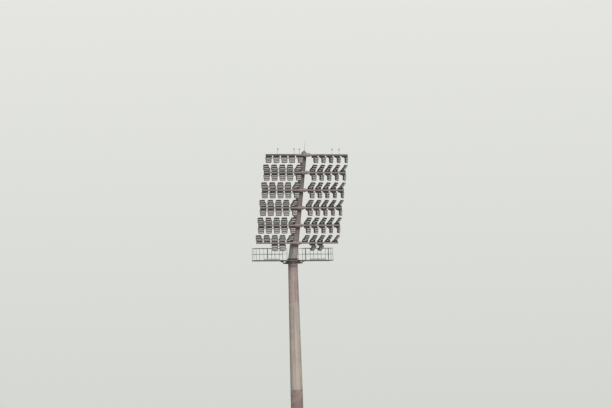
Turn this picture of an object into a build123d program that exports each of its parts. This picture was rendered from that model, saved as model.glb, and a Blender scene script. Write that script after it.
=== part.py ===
"""Stadium floodlight pylon.

A tapered sixteen-sided steel mast stands on a bolted base flange. At the service platform
it is bolted to a head mast that is raked towards the pitch. Six level arms cross the front
of the head and carry the floodlights in a row above and a row below each arm.

Millimetres. +Z is up, the pitch lies towards -Y and the arms run along X. The origin is
the centre of the base flange's underside.
"""

import os
from math import cos, radians, sin, sqrt, tan

from build123d import *

# --- Driving dimensions -------------------------------------------------------------

# Main mast: three slip-jointed sections, widths across the flats
mast_sides = 16
mast_base_width = 1400
mast_top_width = 860
mast_wall = 10
bend_height = 28100
lower_joint_height = 8100
upper_joint_height = 16100
slip_lap = 1500
slip_gap = 0.3

# Base flange with its anchor bolt circle, measured from the mast's outside
flange_overhang = 230
flange_inner_lip = 250
base_flange_thickness = 50
anchor_offset = 140
anchor_count = 24
anchor_hole = 48
gusset_count = 12
gusset_height = 320
gusset_thickness = 20
gusset_reach = 190
gusset_toe = 30
gusset_root = 40

# Access door at the foot, on the side away from the pitch
door_width = 450
door_height = 1200
door_sill = 700
door_frame_bar = 40
door_frame_stand = 45
door_lap = 22
door_plate = 8

# Bend flanges and the raked head mast
bend_flange_lip = 90
bend_flange_thickness = 30
rake = 16
head_base_width = 830
head_top_width = 480
head_wall = 8
head_rise = 9650
cap_height = 210
cap_top_width = 90
cap_lip = 12
rod_diameter = 24
rod_length = 950

# Arms: level boxes with a deeper haunch at the mast
arm_count = 6
first_arm_rise = 1430
arm_spacing = 1598
arm_end = 300
arm_height = 150
arm_depth = 160
arm_clearance = 40
haunch_height = 300
haunch_flat = 240
haunch_run = 500
bracket_width = 400
bracket_height = 260

# Floodlights: eleven slots an arm, of which the mast takes the middle one
lamp_pitch = 795
slots_each_side = 5
lamp_wide_end = 600
lamp_narrow_end = 500
lamp_height = 550
lamp_rim = 60
lamp_front = 110
lamp_depth = 185
lamp_back_inset = 55
pivot_inset = 110
glass_margin = 28
glass_recess = 14
glass_thickness = 6
glass_gap = 2
foot_width = 580
foot_height = 120
foot_depth = 150
upper_pivot_height = 186
upper_pivot_reach = 110
lower_pivot_height = 116
lower_pivot_reach = 140
stirrup_plate = 8
stirrup_foot = 190
stirrup_tip = 64
stirrup_head = 26
pivot_bar = 50
pivot_bar_stand = 12

# Aiming, in degrees: a fan across the pitch from the left end slot to the right end
# slot, and the forward tilt of the rows that stand on the arms and hang below them. The
# few that hang below the lowest arm have a tilt for each slot.
aim_fan = (-41, -34, -25, -23, 5, 18, 26, 30, 36, 44)
upper_tilt = 38
lower_tilt = 4
lowest_arm_hanging_tilts = {-3: 4, -2: 4, 2: 36, 3: 36}

# Obstruction lights on the top arm, at these places along it in lamp pitches
light_places = (-3.82, -1.67, -0.98, 3.36, 4.29)
light_stalk = 400
light_stalk_diameter = 30
light_diameter = 130
light_height = 140

# Service platform: a wing on each side of the mast, carried by a hub and a ring beam
bend_above_floor = 100
wing_length = 4080
wing_clearance = 40
platform_depth = 870
floor_thickness = 30
beam_height = 60
beam_width = 50
cross_beam_width = 40
floor_clearance = 7
ring_gap = 480
ring_bar = 60
ring_height = 100
ring_drop = 130
hub_gap = 220
hub_bar = 40
hub_height = 100
spoke_count = 8
spoke_thickness = 20
knee_root = 50
knee_end = 1120
knee_tip = 20
knee_thickness = 16

# Guard rails; toe boards are left only along the pitch side, between these two posts
rail_height = 1100
rail_bar = 40
mid_rail_height = 560
mid_rail_bar = 30
first_post = 820
post_bays = 4
toe_height = 120
toe_plate = 5
toe_board_posts = (1, 3)

# --- Places worked out from them ----------------------------------------------------

slip_joints = 2
slip_step = 2 * (mast_wall + slip_gap)
mast_taper = (mast_base_width + slip_joints * slip_step - mast_top_width) / bend_height
lean = tan(radians(rake))
head_axis = Vector(0, -sin(radians(rake)), cos(radians(rake)))
head_length = head_rise / cos(radians(rake))
head_taper = (head_base_width - head_top_width) / head_length
head_plane = Plane(origin=(0, 0, bend_height), x_dir=(1, 0, 0), z_dir=head_axis)
head_overrun = head_base_width / 4
bend_flange_diameter = mast_top_width + 2 * bend_flange_lip
bend_flange_opening = mast_top_width - 2 * bend_flange_lip
door_frame_front = mast_base_width / 2 + door_frame_stand

tiers = range(1, arm_count + 1)
slots = [s for s in range(-slots_each_side, slots_each_side + 1) if s != 0]
aim = dict(zip(slots, aim_fan))
arm_length = 2 * (slots_each_side * lamp_pitch + arm_end)
haunch_top = (first_arm_rise + haunch_height / 2) / cos(radians(rake))
head_front = (head_base_width - head_taper * haunch_top) / 2 / cos(radians(rake))
arm_offset = head_front + haunch_height / 2 * lean + arm_clearance + arm_depth / 2
ear_place = lamp_wide_end / 2 + pivot_bar_stand
lamp_back = lamp_front - lamp_depth
top_arm_face = bend_height + first_arm_rise + (arm_count - 1) * arm_spacing + arm_height / 2

floor_height = bend_height - bend_above_floor
beam_top = floor_height - floor_thickness
beam_middle = beam_top - beam_height / 2
beam_bottom = beam_top - beam_height
beam_centre = platform_depth / 2 - beam_width / 2
ring_diameter = mast_top_width + 2 * ring_gap
hub_diameter = mast_top_width + 2 * hub_gap
ring_top = beam_bottom - ring_drop
ring_bottom = ring_top - ring_height
knee_middle = sqrt((ring_diameter / 2 - ring_bar / 2) ** 2 - beam_centre**2)
knee_inside = knee_middle - knee_root / 2
knee_outside = knee_middle + knee_root / 2
wing_start = mast_top_width / 2 + wing_clearance
wing_middle = (wing_start + wing_length) / 2
floor_end = wing_length - rail_bar - floor_clearance
floor_side = platform_depth / 2 - rail_bar - floor_clearance
post_pitch = (wing_length - rail_bar / 2 - first_post) / post_bays
post_places = [first_post + post_pitch * bay for bay in range(post_bays + 1)]
rail_start = first_post - rail_bar / 2
rail_middle = (rail_start + wing_length) / 2
rail_centre = platform_depth / 2 - rail_bar / 2
top_rail_centre = floor_height + rail_height - rail_bar / 2
mid_rail_centre = floor_height + mid_rail_height - mid_rail_bar / 2
end_rail_length = platform_depth - 2 * rail_bar
toe_start, toe_end = [post_places[post] for post in toe_board_posts]
toe_centre = platform_depth / 2 - rail_bar - toe_plate / 2


def mast_width(section, height):
    """Outside width of a mast section, numbered from 0 at the bottom."""
    return mast_base_width + section * slip_step - mast_taper * height


def head_width(along):
    """Outside width of the head mast at a distance along its raked axis."""
    return head_base_width - head_taper * along


def outline(plane, width):
    """The sixteen-sided section of the mast, with flats facing along X and Y."""
    with BuildSketch(plane) as section:
        RegularPolygon(width / 2, mast_sides, major_radius=False, rotation=180 / mast_sides)
    return section.sketch


def taper(low_plane, low_width, high_plane, high_width):
    """A solid tapered length of mast."""
    with BuildPart() as body:
        loft([outline(low_plane, low_width), outline(high_plane, high_width)], ruled=True)
    return body.part


def mast_shell(section, low, high):
    """A hollow mast section between two heights."""
    low_plane = Plane.XY.offset(low)
    high_plane = Plane.XY.offset(high)
    low_width = mast_width(section, low)
    high_width = mast_width(section, high)
    bore = 2 * mast_wall
    with BuildPart() as shell:
        add(taper(low_plane, low_width, high_plane, high_width))
        add(
            taper(low_plane, low_width - bore, high_plane, high_width - bore),
            mode=Mode.SUBTRACT,
        )
    return shell.part


def arm_rise(tier):
    """Height of an arm's centre line above the bend, tiers numbered from 1 at the bottom."""
    return first_arm_rise + (tier - 1) * arm_spacing


def arm_y(tier):
    """Distance of an arm's centre line from the origin, negative towards the pitch."""
    return -arm_rise(tier) * lean - arm_offset


def arm_plane(tier):
    """The upright plane along an arm's centre line."""
    centre = (0, arm_y(tier), bend_height + arm_rise(tier))
    return Plane(origin=centre, x_dir=(1, 0, 0), z_dir=(0, -1, 0))


def lamp_slots(tier, side):
    """The slots of an arm that hold a floodlight, side +1 above the arm and -1 below it."""
    if side > 0:
        return slots if tier < arm_count else []
    return list(lowest_arm_hanging_tilts) if tier == 1 else slots


def lamp_tilt(tier, slot, side):
    """Forward tilt of the floodlight above (+1) or below (-1) an arm at a slot."""
    if side > 0:
        return upper_tilt
    return lowest_arm_hanging_tilts[slot] if tier == 1 else lower_tilt


def pivot_height(side):
    """Height of the pivots above the feet, on top of (+1) or below (-1) an arm."""
    return upper_pivot_height if side > 0 else lower_pivot_height


def pivot_reach(side):
    """How far in front of the feet the pivots are, on top of (+1) or below (-1) an arm."""
    return upper_pivot_reach if side > 0 else lower_pivot_reach


def on_arm(tier, slot, side, reach):
    """Where a slot's piece stands, at a distance above or below the arm's face."""
    height = bend_height + arm_rise(tier) + side * (arm_height / 2 + reach)
    return Pos(slot * lamp_pitch, arm_y(tier), height)


def lamp_outline(plane, inset):
    """The floodlight's face: wide at its pivot end, narrow at its far end."""
    half_wide = lamp_wide_end / 2 - inset
    half_narrow = lamp_narrow_end / 2 - inset
    low = -pivot_inset + inset
    high = lamp_height - pivot_inset - inset
    with BuildSketch(plane) as face:
        with BuildLine():
            Polyline(
                (-half_wide, low),
                (half_wide, low),
                (half_narrow, high),
                (-half_narrow, high),
                close=True,
            )
        make_face()
    return face.sketch


def front_plane(distance):
    """A plane across the floodlight, a distance in front of its pivot."""
    return Plane(origin=(0, -distance, 0), x_dir=(1, 0, 0), z_dir=(0, -1, 0))


def pivot(tier, slot, side):
    """Where a floodlight's pivots are, turned about its foot to its aim."""
    return (
        on_arm(tier, slot, side, foot_height)
        * Rot(Z=aim[slot])
        * Pos(0, -pivot_reach(side), side * pivot_height(side))
    )


face_plane = front_plane(lamp_front)
rim_plane = front_plane(lamp_front - lamp_rim)
back_plane = front_plane(lamp_back)

# --- Mast ---------------------------------------------------------------------------

with BuildPart() as base_flange:
    with BuildSketch():
        Circle(mast_base_width / 2 + flange_overhang)
        Circle(mast_base_width / 2 - flange_inner_lip, mode=Mode.SUBTRACT)
        with PolarLocations(
            mast_base_width / 2 + anchor_offset, anchor_count, start_angle=180 / anchor_count
        ):
            Circle(anchor_hole / 2, mode=Mode.SUBTRACT)
    extrude(amount=base_flange_thickness)

with BuildPart() as mast_section_bottom:
    add(mast_shell(0, base_flange_thickness, lower_joint_height + slip_lap / 2))
    with BuildSketch(Plane.XZ.offset(-mast_base_width)):
        with Locations((0, door_sill + door_height / 2)):
            Rectangle(door_width, door_height)
    extrude(amount=mast_base_width, mode=Mode.SUBTRACT)

with BuildPart() as mast_section_middle:
    add(mast_shell(1, lower_joint_height - slip_lap / 2, upper_joint_height + slip_lap / 2))

with BuildPart() as mast_section_top:
    add(mast_shell(2, upper_joint_height - slip_lap / 2, bend_height - bend_flange_thickness))

# Solid lengths of the mast's outside, cut out of what is seated against it
mast_foot_core = taper(
    Plane.XY,
    mast_width(0, 0),
    Plane.XY.offset(lower_joint_height),
    mast_width(0, lower_joint_height),
)
mast_top_core = taper(
    Plane.XY.offset(upper_joint_height),
    mast_width(slip_joints, upper_joint_height),
    Plane.XY.offset(bend_height),
    mast_width(slip_joints, bend_height),
)
head_core = taper(
    head_plane.offset(-head_overrun),
    head_width(-head_overrun),
    head_plane.offset(head_length),
    head_width(head_length),
)

with BuildPart() as gusset:
    with BuildSketch(
        Plane(
            origin=(mast_base_width / 2, 0, base_flange_thickness),
            x_dir=(1, 0, 0),
            z_dir=(0, -1, 0),
        )
    ):
        with BuildLine():
            Polyline(
                (-gusset_root, 0),
                (gusset_reach, 0),
                (gusset_reach, gusset_toe),
                (gusset_toe, gusset_height),
                (-gusset_root, gusset_height),
                close=True,
            )
        make_face()
    extrude(amount=gusset_thickness / 2, both=True)

with BuildPart() as base_gussets:
    with PolarLocations(0, gusset_count):
        add(gusset.part)
    add(mast_foot_core, mode=Mode.SUBTRACT)

with BuildPart() as access_door_frame:
    with Locations((0, door_frame_front / 2, door_sill + door_height / 2)):
        Box(door_width + 2 * door_frame_bar, door_frame_front, door_height + 2 * door_frame_bar)
        Box(door_width, door_frame_front, door_height, mode=Mode.SUBTRACT)
    add(mast_foot_core, mode=Mode.SUBTRACT)

with BuildPart() as access_door:
    with Locations((0, door_frame_front + door_plate / 2, door_sill + door_height / 2)):
        Box(door_width + 2 * door_lap, door_plate, door_height + 2 * door_lap)

with BuildPart() as mast_top_flange:
    with BuildSketch(Plane.XY.offset(bend_height)):
        Circle(bend_flange_diameter / 2)
        Circle(bend_flange_opening / 2, mode=Mode.SUBTRACT)
    extrude(amount=-bend_flange_thickness)

# --- Raked head ---------------------------------------------------------------------

with BuildPart() as head_flange:
    with BuildSketch(Plane.XY.offset(bend_height)):
        Circle(bend_flange_diameter / 2)
        Circle(bend_flange_opening / 2, mode=Mode.SUBTRACT)
    extrude(amount=bend_flange_thickness)

with BuildPart() as head_mast:
    add(head_core)
    add(
        taper(
            head_plane.offset(-head_overrun),
            head_width(-head_overrun) - 2 * head_wall,
            head_plane.offset(head_length),
            head_width(head_length) - 2 * head_wall,
        ),
        mode=Mode.SUBTRACT,
    )
    split(bisect_by=Plane.XY.offset(bend_height + bend_flange_thickness), keep=Keep.TOP)

with BuildPart() as mast_cap:
    loft(
        [
            outline(head_plane.offset(head_length), head_top_width + 2 * cap_lip),
            outline(head_plane.offset(head_length + cap_height), cap_top_width),
        ],
        ruled=True,
    )

with BuildPart() as lightning_rod:
    with Locations(head_plane.origin + head_axis * (head_length + cap_height)):
        Cylinder(rod_diameter / 2, 2 * rod_length)
    split(bisect_by=Plane.XY.offset(bend_height + head_rise), keep=Keep.TOP)
    add(mast_cap.part, mode=Mode.SUBTRACT)

# --- Arms and the brackets that carry them ------------------------------------------

arms = []
for tier in tiers:
    with BuildPart() as arm:
        with BuildSketch(arm_plane(tier)):
            with BuildLine():
                Polyline(
                    (0, haunch_height / 2),
                    (haunch_flat, haunch_height / 2),
                    (haunch_run, arm_height / 2),
                    (arm_length / 2, arm_height / 2),
                    (arm_length / 2, 0),
                )
                mirror(about=Plane.XZ)
                mirror(about=Plane.YZ)
            make_face()
        extrude(amount=arm_depth / 2, both=True)
    arm.part.label = f"arm_{tier}"
    arms.append(arm.part)

with BuildPart() as arm_brackets:
    for tier in tiers:
        with Locations((0, arm_y(tier) + arm_depth / 2, bend_height + arm_rise(tier))):
            Box(
                bracket_width,
                arm_offset - arm_depth / 2,
                bracket_height,
                align=(Align.CENTER, Align.MIN, Align.CENTER),
            )
    add(head_core, mode=Mode.SUBTRACT)

# --- Floodlights --------------------------------------------------------------------
# One of each piece is made at its pivot, facing the pitch, and then set out on the arms.

with BuildPart() as housing:
    extrude(lamp_outline(rim_plane, 0), amount=lamp_rim)
    loft([lamp_outline(rim_plane, 0), lamp_outline(back_plane, lamp_back_inset)], ruled=True)
    extrude(lamp_outline(face_plane, glass_margin), amount=-glass_recess, mode=Mode.SUBTRACT)
    Cylinder(pivot_bar / 2, 2 * ear_place, rotation=(0, 90, 0))

with BuildPart() as glass:
    extrude(
        lamp_outline(face_plane.offset(-glass_recess), glass_margin + glass_gap),
        amount=glass_thickness,
    )


def hung(piece, side):
    """The piece as it stands above an arm, or turned over to hang below one."""
    if side > 0:
        return piece
    return mirror(piece, about=Plane.XY, mode=Mode.PRIVATE)


def stirrup(side):
    """The fork that holds a floodlight: a plate on the foot and two cheeks leaning forward."""
    height = pivot_height(side)
    foot = pivot_reach(side)
    tip = -foot * stirrup_head / height
    with BuildPart() as fork:
        with BuildSketch(Plane.YZ):
            with BuildLine():
                Polyline(
                    (foot - stirrup_foot / 2, -height),
                    (foot + stirrup_foot / 2, -height),
                    (tip + stirrup_tip / 2, stirrup_head),
                    (tip - stirrup_tip / 2, stirrup_head),
                    close=True,
                )
            make_face()
        extrude(amount=ear_place + stirrup_plate, both=True)
        with Locations((0, 0, stirrup_plate - height)):
            Box(
                2 * ear_place,
                2 * (foot + stirrup_foot),
                height + stirrup_head,
                align=(Align.CENTER, Align.CENTER, Align.MIN),
                mode=Mode.SUBTRACT,
            )
    return hung(fork.part, side)


def aimed(piece, tier, side):
    """A row's copies of a piece, turned to their aim and tilted forward."""
    return [
        pivot(tier, slot, side) * Rot(X=lamp_tilt(tier, slot, side)) * hung(piece, side)
        for slot in lamp_slots(tier, side)
    ]


stirrups = {side: stirrup(side) for side in (1, -1)}
lamp_nodes = []
for tier in tiers:
    with BuildPart() as lamp_stirrups:
        for side in (1, -1):
            for slot in lamp_slots(tier, side):
                with Locations(on_arm(tier, slot, side, foot_height / 2)):
                    Box(foot_width, foot_depth, foot_height)
                add(pivot(tier, slot, side) * stirrups[side])
    lamp_stirrups.part.label = f"lamp_stirrups_arm_{tier}"
    lamp_nodes.append(lamp_stirrups.part)

    with BuildPart() as lamp_housings:
        add(aimed(housing.part, tier, 1) + aimed(housing.part, tier, -1))
    lamp_housings.part.label = f"lamp_housings_arm_{tier}"
    lamp_nodes.append(lamp_housings.part)

for side, place in ((1, "above"), (-1, "below")):
    with BuildPart() as lamp_glass:
        for tier in tiers:
            add(aimed(glass.part, tier, side))
    lamp_glass.part.label = f"lamp_glass_{place}_arms"
    lamp_nodes.append(lamp_glass.part)

# --- Obstruction lights on the top arm ----------------------------------------------

with BuildPart() as obstruction_lights:
    with Locations([(x * lamp_pitch, arm_y(arm_count), top_arm_face) for x in light_places]):
        Cylinder(
            light_stalk_diameter / 2,
            light_stalk,
            align=(Align.CENTER, Align.CENTER, Align.MIN),
        )
    with Locations(
        [(x * lamp_pitch, arm_y(arm_count), top_arm_face + light_stalk) for x in light_places]
    ):
        Cylinder(
            light_diameter / 2,
            light_height,
            align=(Align.CENTER, Align.CENTER, Align.MIN),
        )

# --- Service platform ---------------------------------------------------------------

with BuildPart() as platform_support:
    with BuildSketch(Plane.XY.offset(ring_bottom)):
        Circle(ring_diameter / 2)
        Circle(ring_diameter / 2 - ring_bar, mode=Mode.SUBTRACT)
    extrude(amount=ring_height)
    with BuildSketch(Plane.XY.offset(beam_bottom - hub_height)):
        Circle(hub_diameter / 2)
        Circle(hub_diameter / 2 - hub_bar, mode=Mode.SUBTRACT)
    extrude(amount=hub_height)
    with PolarLocations(0, spoke_count):
        with Locations((0, 0, ring_bottom)):
            Box(
                ring_diameter / 2 - ring_bar / 2,
                spoke_thickness,
                ring_height,
                align=(Align.MIN, Align.CENTER, Align.MIN),
            )
            Box(
                hub_diameter / 2 - hub_bar / 2,
                spoke_thickness,
                beam_bottom - ring_bottom,
                align=(Align.MIN, Align.CENTER, Align.MIN),
            )
    for y in (-beam_centre, beam_centre):
        with BuildSketch(Plane.XZ.offset(-y)):
            for side in (-1, 1):
                with BuildLine():
                    Polyline(
                        (side * knee_inside, beam_bottom),
                        (side * knee_end, beam_bottom),
                        (side * knee_end, beam_bottom - knee_tip),
                        (side * knee_outside, ring_top),
                        (side * knee_inside, ring_top),
                        close=True,
                    )
                make_face()
        extrude(amount=knee_thickness / 2, both=True)
    add(mast_top_core, mode=Mode.SUBTRACT)

with BuildPart() as platform_frame:
    for side in (-1, 1):
        with Locations(
            (side * wing_middle, beam_centre, beam_middle),
            (side * wing_middle, -beam_centre, beam_middle),
        ):
            Box(wing_length - wing_start, beam_width, beam_height)
        for x in [wing_start + cross_beam_width / 2] + post_places:
            with Locations((side * x, 0, beam_middle)):
                Box(cross_beam_width, 2 * beam_centre, beam_height)

with BuildPart() as platform_floor:
    for side in (-1, 1):
        with Locations((side * (wing_start + floor_end) / 2, 0, beam_top)):
            Box(
                floor_end - wing_start,
                2 * floor_side,
                floor_thickness,
                align=(Align.CENTER, Align.CENTER, Align.MIN),
            )

guardrails = []
for face, name in ((-1, "front"), (1, "back")):
    with BuildPart() as guardrail:
        for side in (-1, 1):
            with Locations([(side * x, face * rail_centre, beam_top) for x in post_places]):
                Box(
                    rail_bar,
                    rail_bar,
                    rail_height + floor_thickness,
                    align=(Align.CENTER, Align.CENTER, Align.MIN),
                )
            with Locations((side * rail_middle, face * rail_centre, top_rail_centre)):
                Box(wing_length - rail_start, rail_bar, rail_bar)
            with Locations((side * rail_middle, face * rail_centre, mid_rail_centre)):
                Box(wing_length - rail_start, mid_rail_bar, mid_rail_bar)
            if face < 0:
                with Locations((side * (toe_start + toe_end) / 2, -toe_centre, floor_height)):
                    Box(
                        toe_end - toe_start,
                        toe_plate,
                        toe_height,
                        align=(Align.CENTER, Align.CENTER, Align.MIN),
                    )
    guardrail.part.label = f"guardrail_{name}"
    guardrails.append(guardrail.part)

with BuildPart() as guardrail_ends:
    for side in (-1, 1):
        with Locations((side * post_places[-1], 0, beam_top)):
            Box(
                rail_bar,
                rail_bar,
                rail_height + floor_thickness,
                align=(Align.CENTER, Align.CENTER, Align.MIN),
            )
        with Locations((side * post_places[-1], 0, top_rail_centre)):
            Box(rail_bar, end_rail_length, rail_bar)
        with Locations((side * post_places[-1], 0, mid_rail_centre)):
            Box(mid_rail_bar, end_rail_length, mid_rail_bar)

# --- Labels and files ---------------------------------------------------------------

base_flange.part.label = "base_flange"
base_gussets.part.label = "base_gussets"
mast_section_bottom.part.label = "mast_section_bottom"
mast_section_middle.part.label = "mast_section_middle"
mast_section_top.part.label = "mast_section_top"
access_door_frame.part.label = "access_door_frame"
access_door.part.label = "access_door"
mast_top_flange.part.label = "mast_top_flange"
head_flange.part.label = "head_flange"
head_mast.part.label = "head_mast"
mast_cap.part.label = "mast_cap"
lightning_rod.part.label = "lightning_rod"
arm_brackets.part.label = "arm_brackets"
obstruction_lights.part.label = "obstruction_lights"
platform_support.part.label = "platform_support"
platform_frame.part.label = "platform_frame"
platform_floor.part.label = "platform_floor"
guardrail_ends.part.label = "guardrail_ends"

single_pieces = [
    base_flange,
    base_gussets,
    mast_section_bottom,
    mast_section_middle,
    mast_section_top,
    access_door_frame,
    access_door,
    mast_top_flange,
    head_flange,
    head_mast,
    mast_cap,
    lightning_rod,
    arm_brackets,
    obstruction_lights,
    platform_support,
    platform_frame,
    platform_floor,
    guardrail_ends,
]

os.makedirs("parts", exist_ok=True)
for piece in [single.part for single in single_pieces] + arms + lamp_nodes + guardrails:
    export_step(piece, f"parts/{piece.label}.step")
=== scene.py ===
"""Stadium floodlight pylon: the finish of every surface and the fine detail.

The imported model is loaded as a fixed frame, and each section below finishes or details one
of its pieces, from the ground up. Metres, +Z up, the pitch towards -Y, the arms along X.
"""

import math

import bmesh
import bpy
from mathutils import Matrix, Vector


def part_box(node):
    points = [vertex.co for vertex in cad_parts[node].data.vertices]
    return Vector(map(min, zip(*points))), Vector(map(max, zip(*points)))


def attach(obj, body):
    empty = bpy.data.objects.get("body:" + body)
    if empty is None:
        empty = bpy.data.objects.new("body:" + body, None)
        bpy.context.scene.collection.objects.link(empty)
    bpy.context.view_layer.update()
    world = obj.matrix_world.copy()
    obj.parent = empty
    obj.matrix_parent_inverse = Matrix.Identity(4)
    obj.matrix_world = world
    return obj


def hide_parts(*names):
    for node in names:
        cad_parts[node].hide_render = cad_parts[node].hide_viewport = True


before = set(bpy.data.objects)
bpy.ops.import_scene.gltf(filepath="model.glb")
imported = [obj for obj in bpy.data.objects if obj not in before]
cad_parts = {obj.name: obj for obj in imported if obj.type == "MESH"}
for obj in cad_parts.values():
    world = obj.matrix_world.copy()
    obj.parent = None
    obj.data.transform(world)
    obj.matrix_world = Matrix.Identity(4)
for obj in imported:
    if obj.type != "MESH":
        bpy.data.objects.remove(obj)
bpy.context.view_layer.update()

# --- Viewpoint ----------------------------------------------------------------------
# The pylon is seen from the ground, far off and to its left, through a long lens that is
# held a little askew. The view takes in the head and the upper half of the mast.

view_azimuth = math.radians(-29)
view_rise = math.radians(3)
view_roll = math.radians(1.69)
view_distance = 600.0
view_width = 56.6
aim_beside_mast = 1.225
aim_above_platform = 5.185

level_right = Vector((math.cos(view_azimuth), math.sin(view_azimuth), 0))
forward = Vector(
    (
        -math.sin(view_azimuth) * math.cos(view_rise),
        math.cos(view_azimuth) * math.cos(view_rise),
        math.sin(view_rise),
    )
)
level_up = level_right.cross(forward)
right = level_right * math.cos(view_roll) - level_up * math.sin(view_roll)
up = level_right * math.sin(view_roll) + level_up * math.cos(view_roll)

platform_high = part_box("platform_floor")[1]
aim = Vector((0, 0, platform_high[2])) + right * aim_beside_mast + up * aim_above_platform


def placed(name, data):
    """A new object in the scene."""
    made = bpy.data.objects.new(name, data)
    bpy.context.collection.objects.link(made)
    return made


camera_data = bpy.data.cameras.new("viewpoint")
camera_data.sensor_width = 36.0
camera_data.lens = camera_data.sensor_width * view_distance / view_width
camera_data.clip_start = 10.0
camera_data.clip_end = 3000.0
camera = placed("viewpoint", camera_data)
turn = Matrix((right, up, -forward)).transposed().to_4x4()
camera.matrix_world = Matrix.Translation(aim - forward * view_distance) @ turn
bpy.context.scene.camera = camera
bpy.context.scene.view_settings.view_transform = "Standard"

# --- Light and ground ---------------------------------------------------------------
# An overcast dome that is brightest overhead, a broad soft lamp from the front and right,
# and a plain pale floor. The dome shows as a pale sky only to the eye, gloss and glass.


def tone(red, green, blue):
    """A colour written as it looks on a screen, 0 to 255, as linear light."""
    linear = []
    for value in (red, green, blue):
        share = value / 255
        linear.append(share / 12.92 if share <= 0.04045 else ((share + 0.055) / 1.055) ** 2.4)
    return (*linear, 1.0)


def add_node(tree, kind, **settings):
    """A new node with its settings."""
    made = tree.nodes.new(kind)
    for name, value in settings.items():
        setattr(made, name, value)
    return made


def feed(tree, source, socket):
    """Link an output to a socket, or set the socket to a plain value."""
    if isinstance(source, bpy.types.NodeSocket):
        tree.links.new(source, socket)
    else:
        socket.default_value = source


def feed_all(tree, node, given):
    """Link or set a node's inputs, by name or number."""
    for socket, source in given.items():
        feed(tree, source, node.inputs[socket])


def outcome(tree, kind, out, given, **settings):
    """One output of a new node, by name or number."""
    made = add_node(tree, kind, **settings)
    feed_all(tree, made, given)
    return made.outputs[out]


def split_up(tree, source, kind="ShaderNodeSeparateXYZ"):
    """The parts of a place, or of a colour."""
    made = add_node(tree, kind)
    feed(tree, source, made.inputs[0])
    return made.outputs


def share_of(tree, value, low, high, interpolation="LINEAR"):
    """0 below low and 1 above high, and the share of the way between."""
    given = {"Value": value, "From Min": low, "From Max": high}
    return outcome(tree, "ShaderNodeMapRange", "Result", given, interpolation_type=interpolation)


def ramp(tree, source, *stops):
    """A colour ramp of (place, colour) stops."""
    made = add_node(tree, "ShaderNodeValToRGB")
    feed(tree, source, made.inputs["Fac"])
    band = made.color_ramp
    for element, (place, colour) in zip(band.elements, (stops[0], stops[-1])):
        element.position = place
        element.color = colour
    for place, colour in stops[1:-1]:
        band.elements.new(place).color = colour
    return made.outputs["Color"]


def mixed(tree, share, first, second):
    """Two colours mixed by a share from 0 to 1."""
    return outcome(tree, "ShaderNodeMix", 2, {0: share, 6: first, 7: second}, data_type="RGBA")


def worked(tree, operation, *values):
    """The result of one sum."""
    return outcome(tree, "ShaderNodeMath", 0, dict(enumerate(values)), operation=operation)


def as_seen(tree):
    """1 for what the eye sees, straight, in gloss or through glass, and 0 for what lights."""
    path = add_node(tree, "ShaderNodeLightPath").outputs
    straight = worked(tree, "MAXIMUM", path["Is Camera Ray"], path["Is Glossy Ray"])
    return worked(tree, "MAXIMUM", straight, path["Is Transmission Ray"])


sky_low = tone(213, 215, 210)
sky_high = tone(229, 230, 225)
sky_span = (0.02, 0.085)
dome_below = (0.08, 0.08, 0.08, 1.0)
dome_horizon = (0.38, 0.38, 0.38, 1.0)
dome_overhead = (0.80, 0.81, 0.83, 1.0)

world = bpy.data.worlds.new("overcast")
bpy.context.scene.world = world
world.use_nodes = True
air = world.node_tree
air.nodes.clear()
ray_rise = split_up(air, add_node(air, "ShaderNodeTexCoord").outputs["Generated"])["Z"]
sky_tones = ramp(air, share_of(air, ray_rise, *sky_span), (0.0, sky_low), (1.0, sky_high))
sky = outcome(air, "ShaderNodeBackground", 0, {"Color": sky_tones})
dome_stops = ((0.42, dome_below), (0.52, dome_horizon), (1.0, dome_overhead))
dome_tones = ramp(air, share_of(air, ray_rise, -1.0, 1.0), *dome_stops)
dome = outcome(air, "ShaderNodeBackground", 0, {"Color": dome_tones})
either = outcome(air, "ShaderNodeMixShader", 0, {0: as_seen(air), 1: dome, 2: sky})
feed(air, either, add_node(air, "ShaderNodeOutputWorld").inputs["Surface"])

sun_data = bpy.data.lights.new("soft_lamp", "SUN")
sun_data.energy = 2.4
sun_data.angle = math.radians(24)
sun = placed("soft_lamp", sun_data)
sun_from = level_right * 0.28 - forward * 0.80 + Vector((0, 0, 0.60))
sun.rotation_mode = "QUATERNION"
sun.rotation_quaternion = sun_from.to_track_quat("Z", "Y")

floor_radius = 400.0
floor_drop = 0.002
bm = bmesh.new()
bmesh.ops.create_circle(
    bm, cap_ends=True, segments=96, radius=floor_radius, matrix=Matrix.Translation((0, 0, -floor_drop)),
)
floor_mesh = bpy.data.meshes.new("floor")
bm.to_mesh(floor_mesh)
bm.free()
floor = placed("floor", floor_mesh)
floor_paint = bpy.data.materials.new("pale floor")
floor_paint.use_nodes = True
floor_tree = floor_paint.node_tree
floor_shader = floor_tree.nodes["Principled BSDF"]
floor_tones = mixed(floor_tree, as_seen(floor_tree), tone(118, 120, 116), tone(222, 223, 218))
feed_all(floor_tree, floor_shader, {"Base Color": floor_tones, "Roughness": 0.9})
floor_mesh.materials.append(floor_paint)

# --- Base flange and gussets --------------------------------------------------------
# A thick galvanised ring plate with twelve gussets, welded around the mast's foot. The
# anchor bolts belong to the foundation, so their holes stay open. Fillet welds fill the roots.


def new_group(name, inputs, outputs):
    """An empty node group with its inputs and their usual values, and its outputs."""
    group = bpy.data.node_groups.new(name, "ShaderNodeTree")
    for label, kind, usual in inputs:
        socket = group.interface.new_socket(label, in_out="INPUT", socket_type=kind)
        if usual is not None:
            socket.default_value = usual
    for label, kind in outputs:
        group.interface.new_socket(label, in_out="OUTPUT", socket_type=kind)
    given = add_node(group, "NodeGroupInput").outputs
    put_out = add_node(group, "NodeGroupOutput").inputs
    return group, given, put_out


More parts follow.
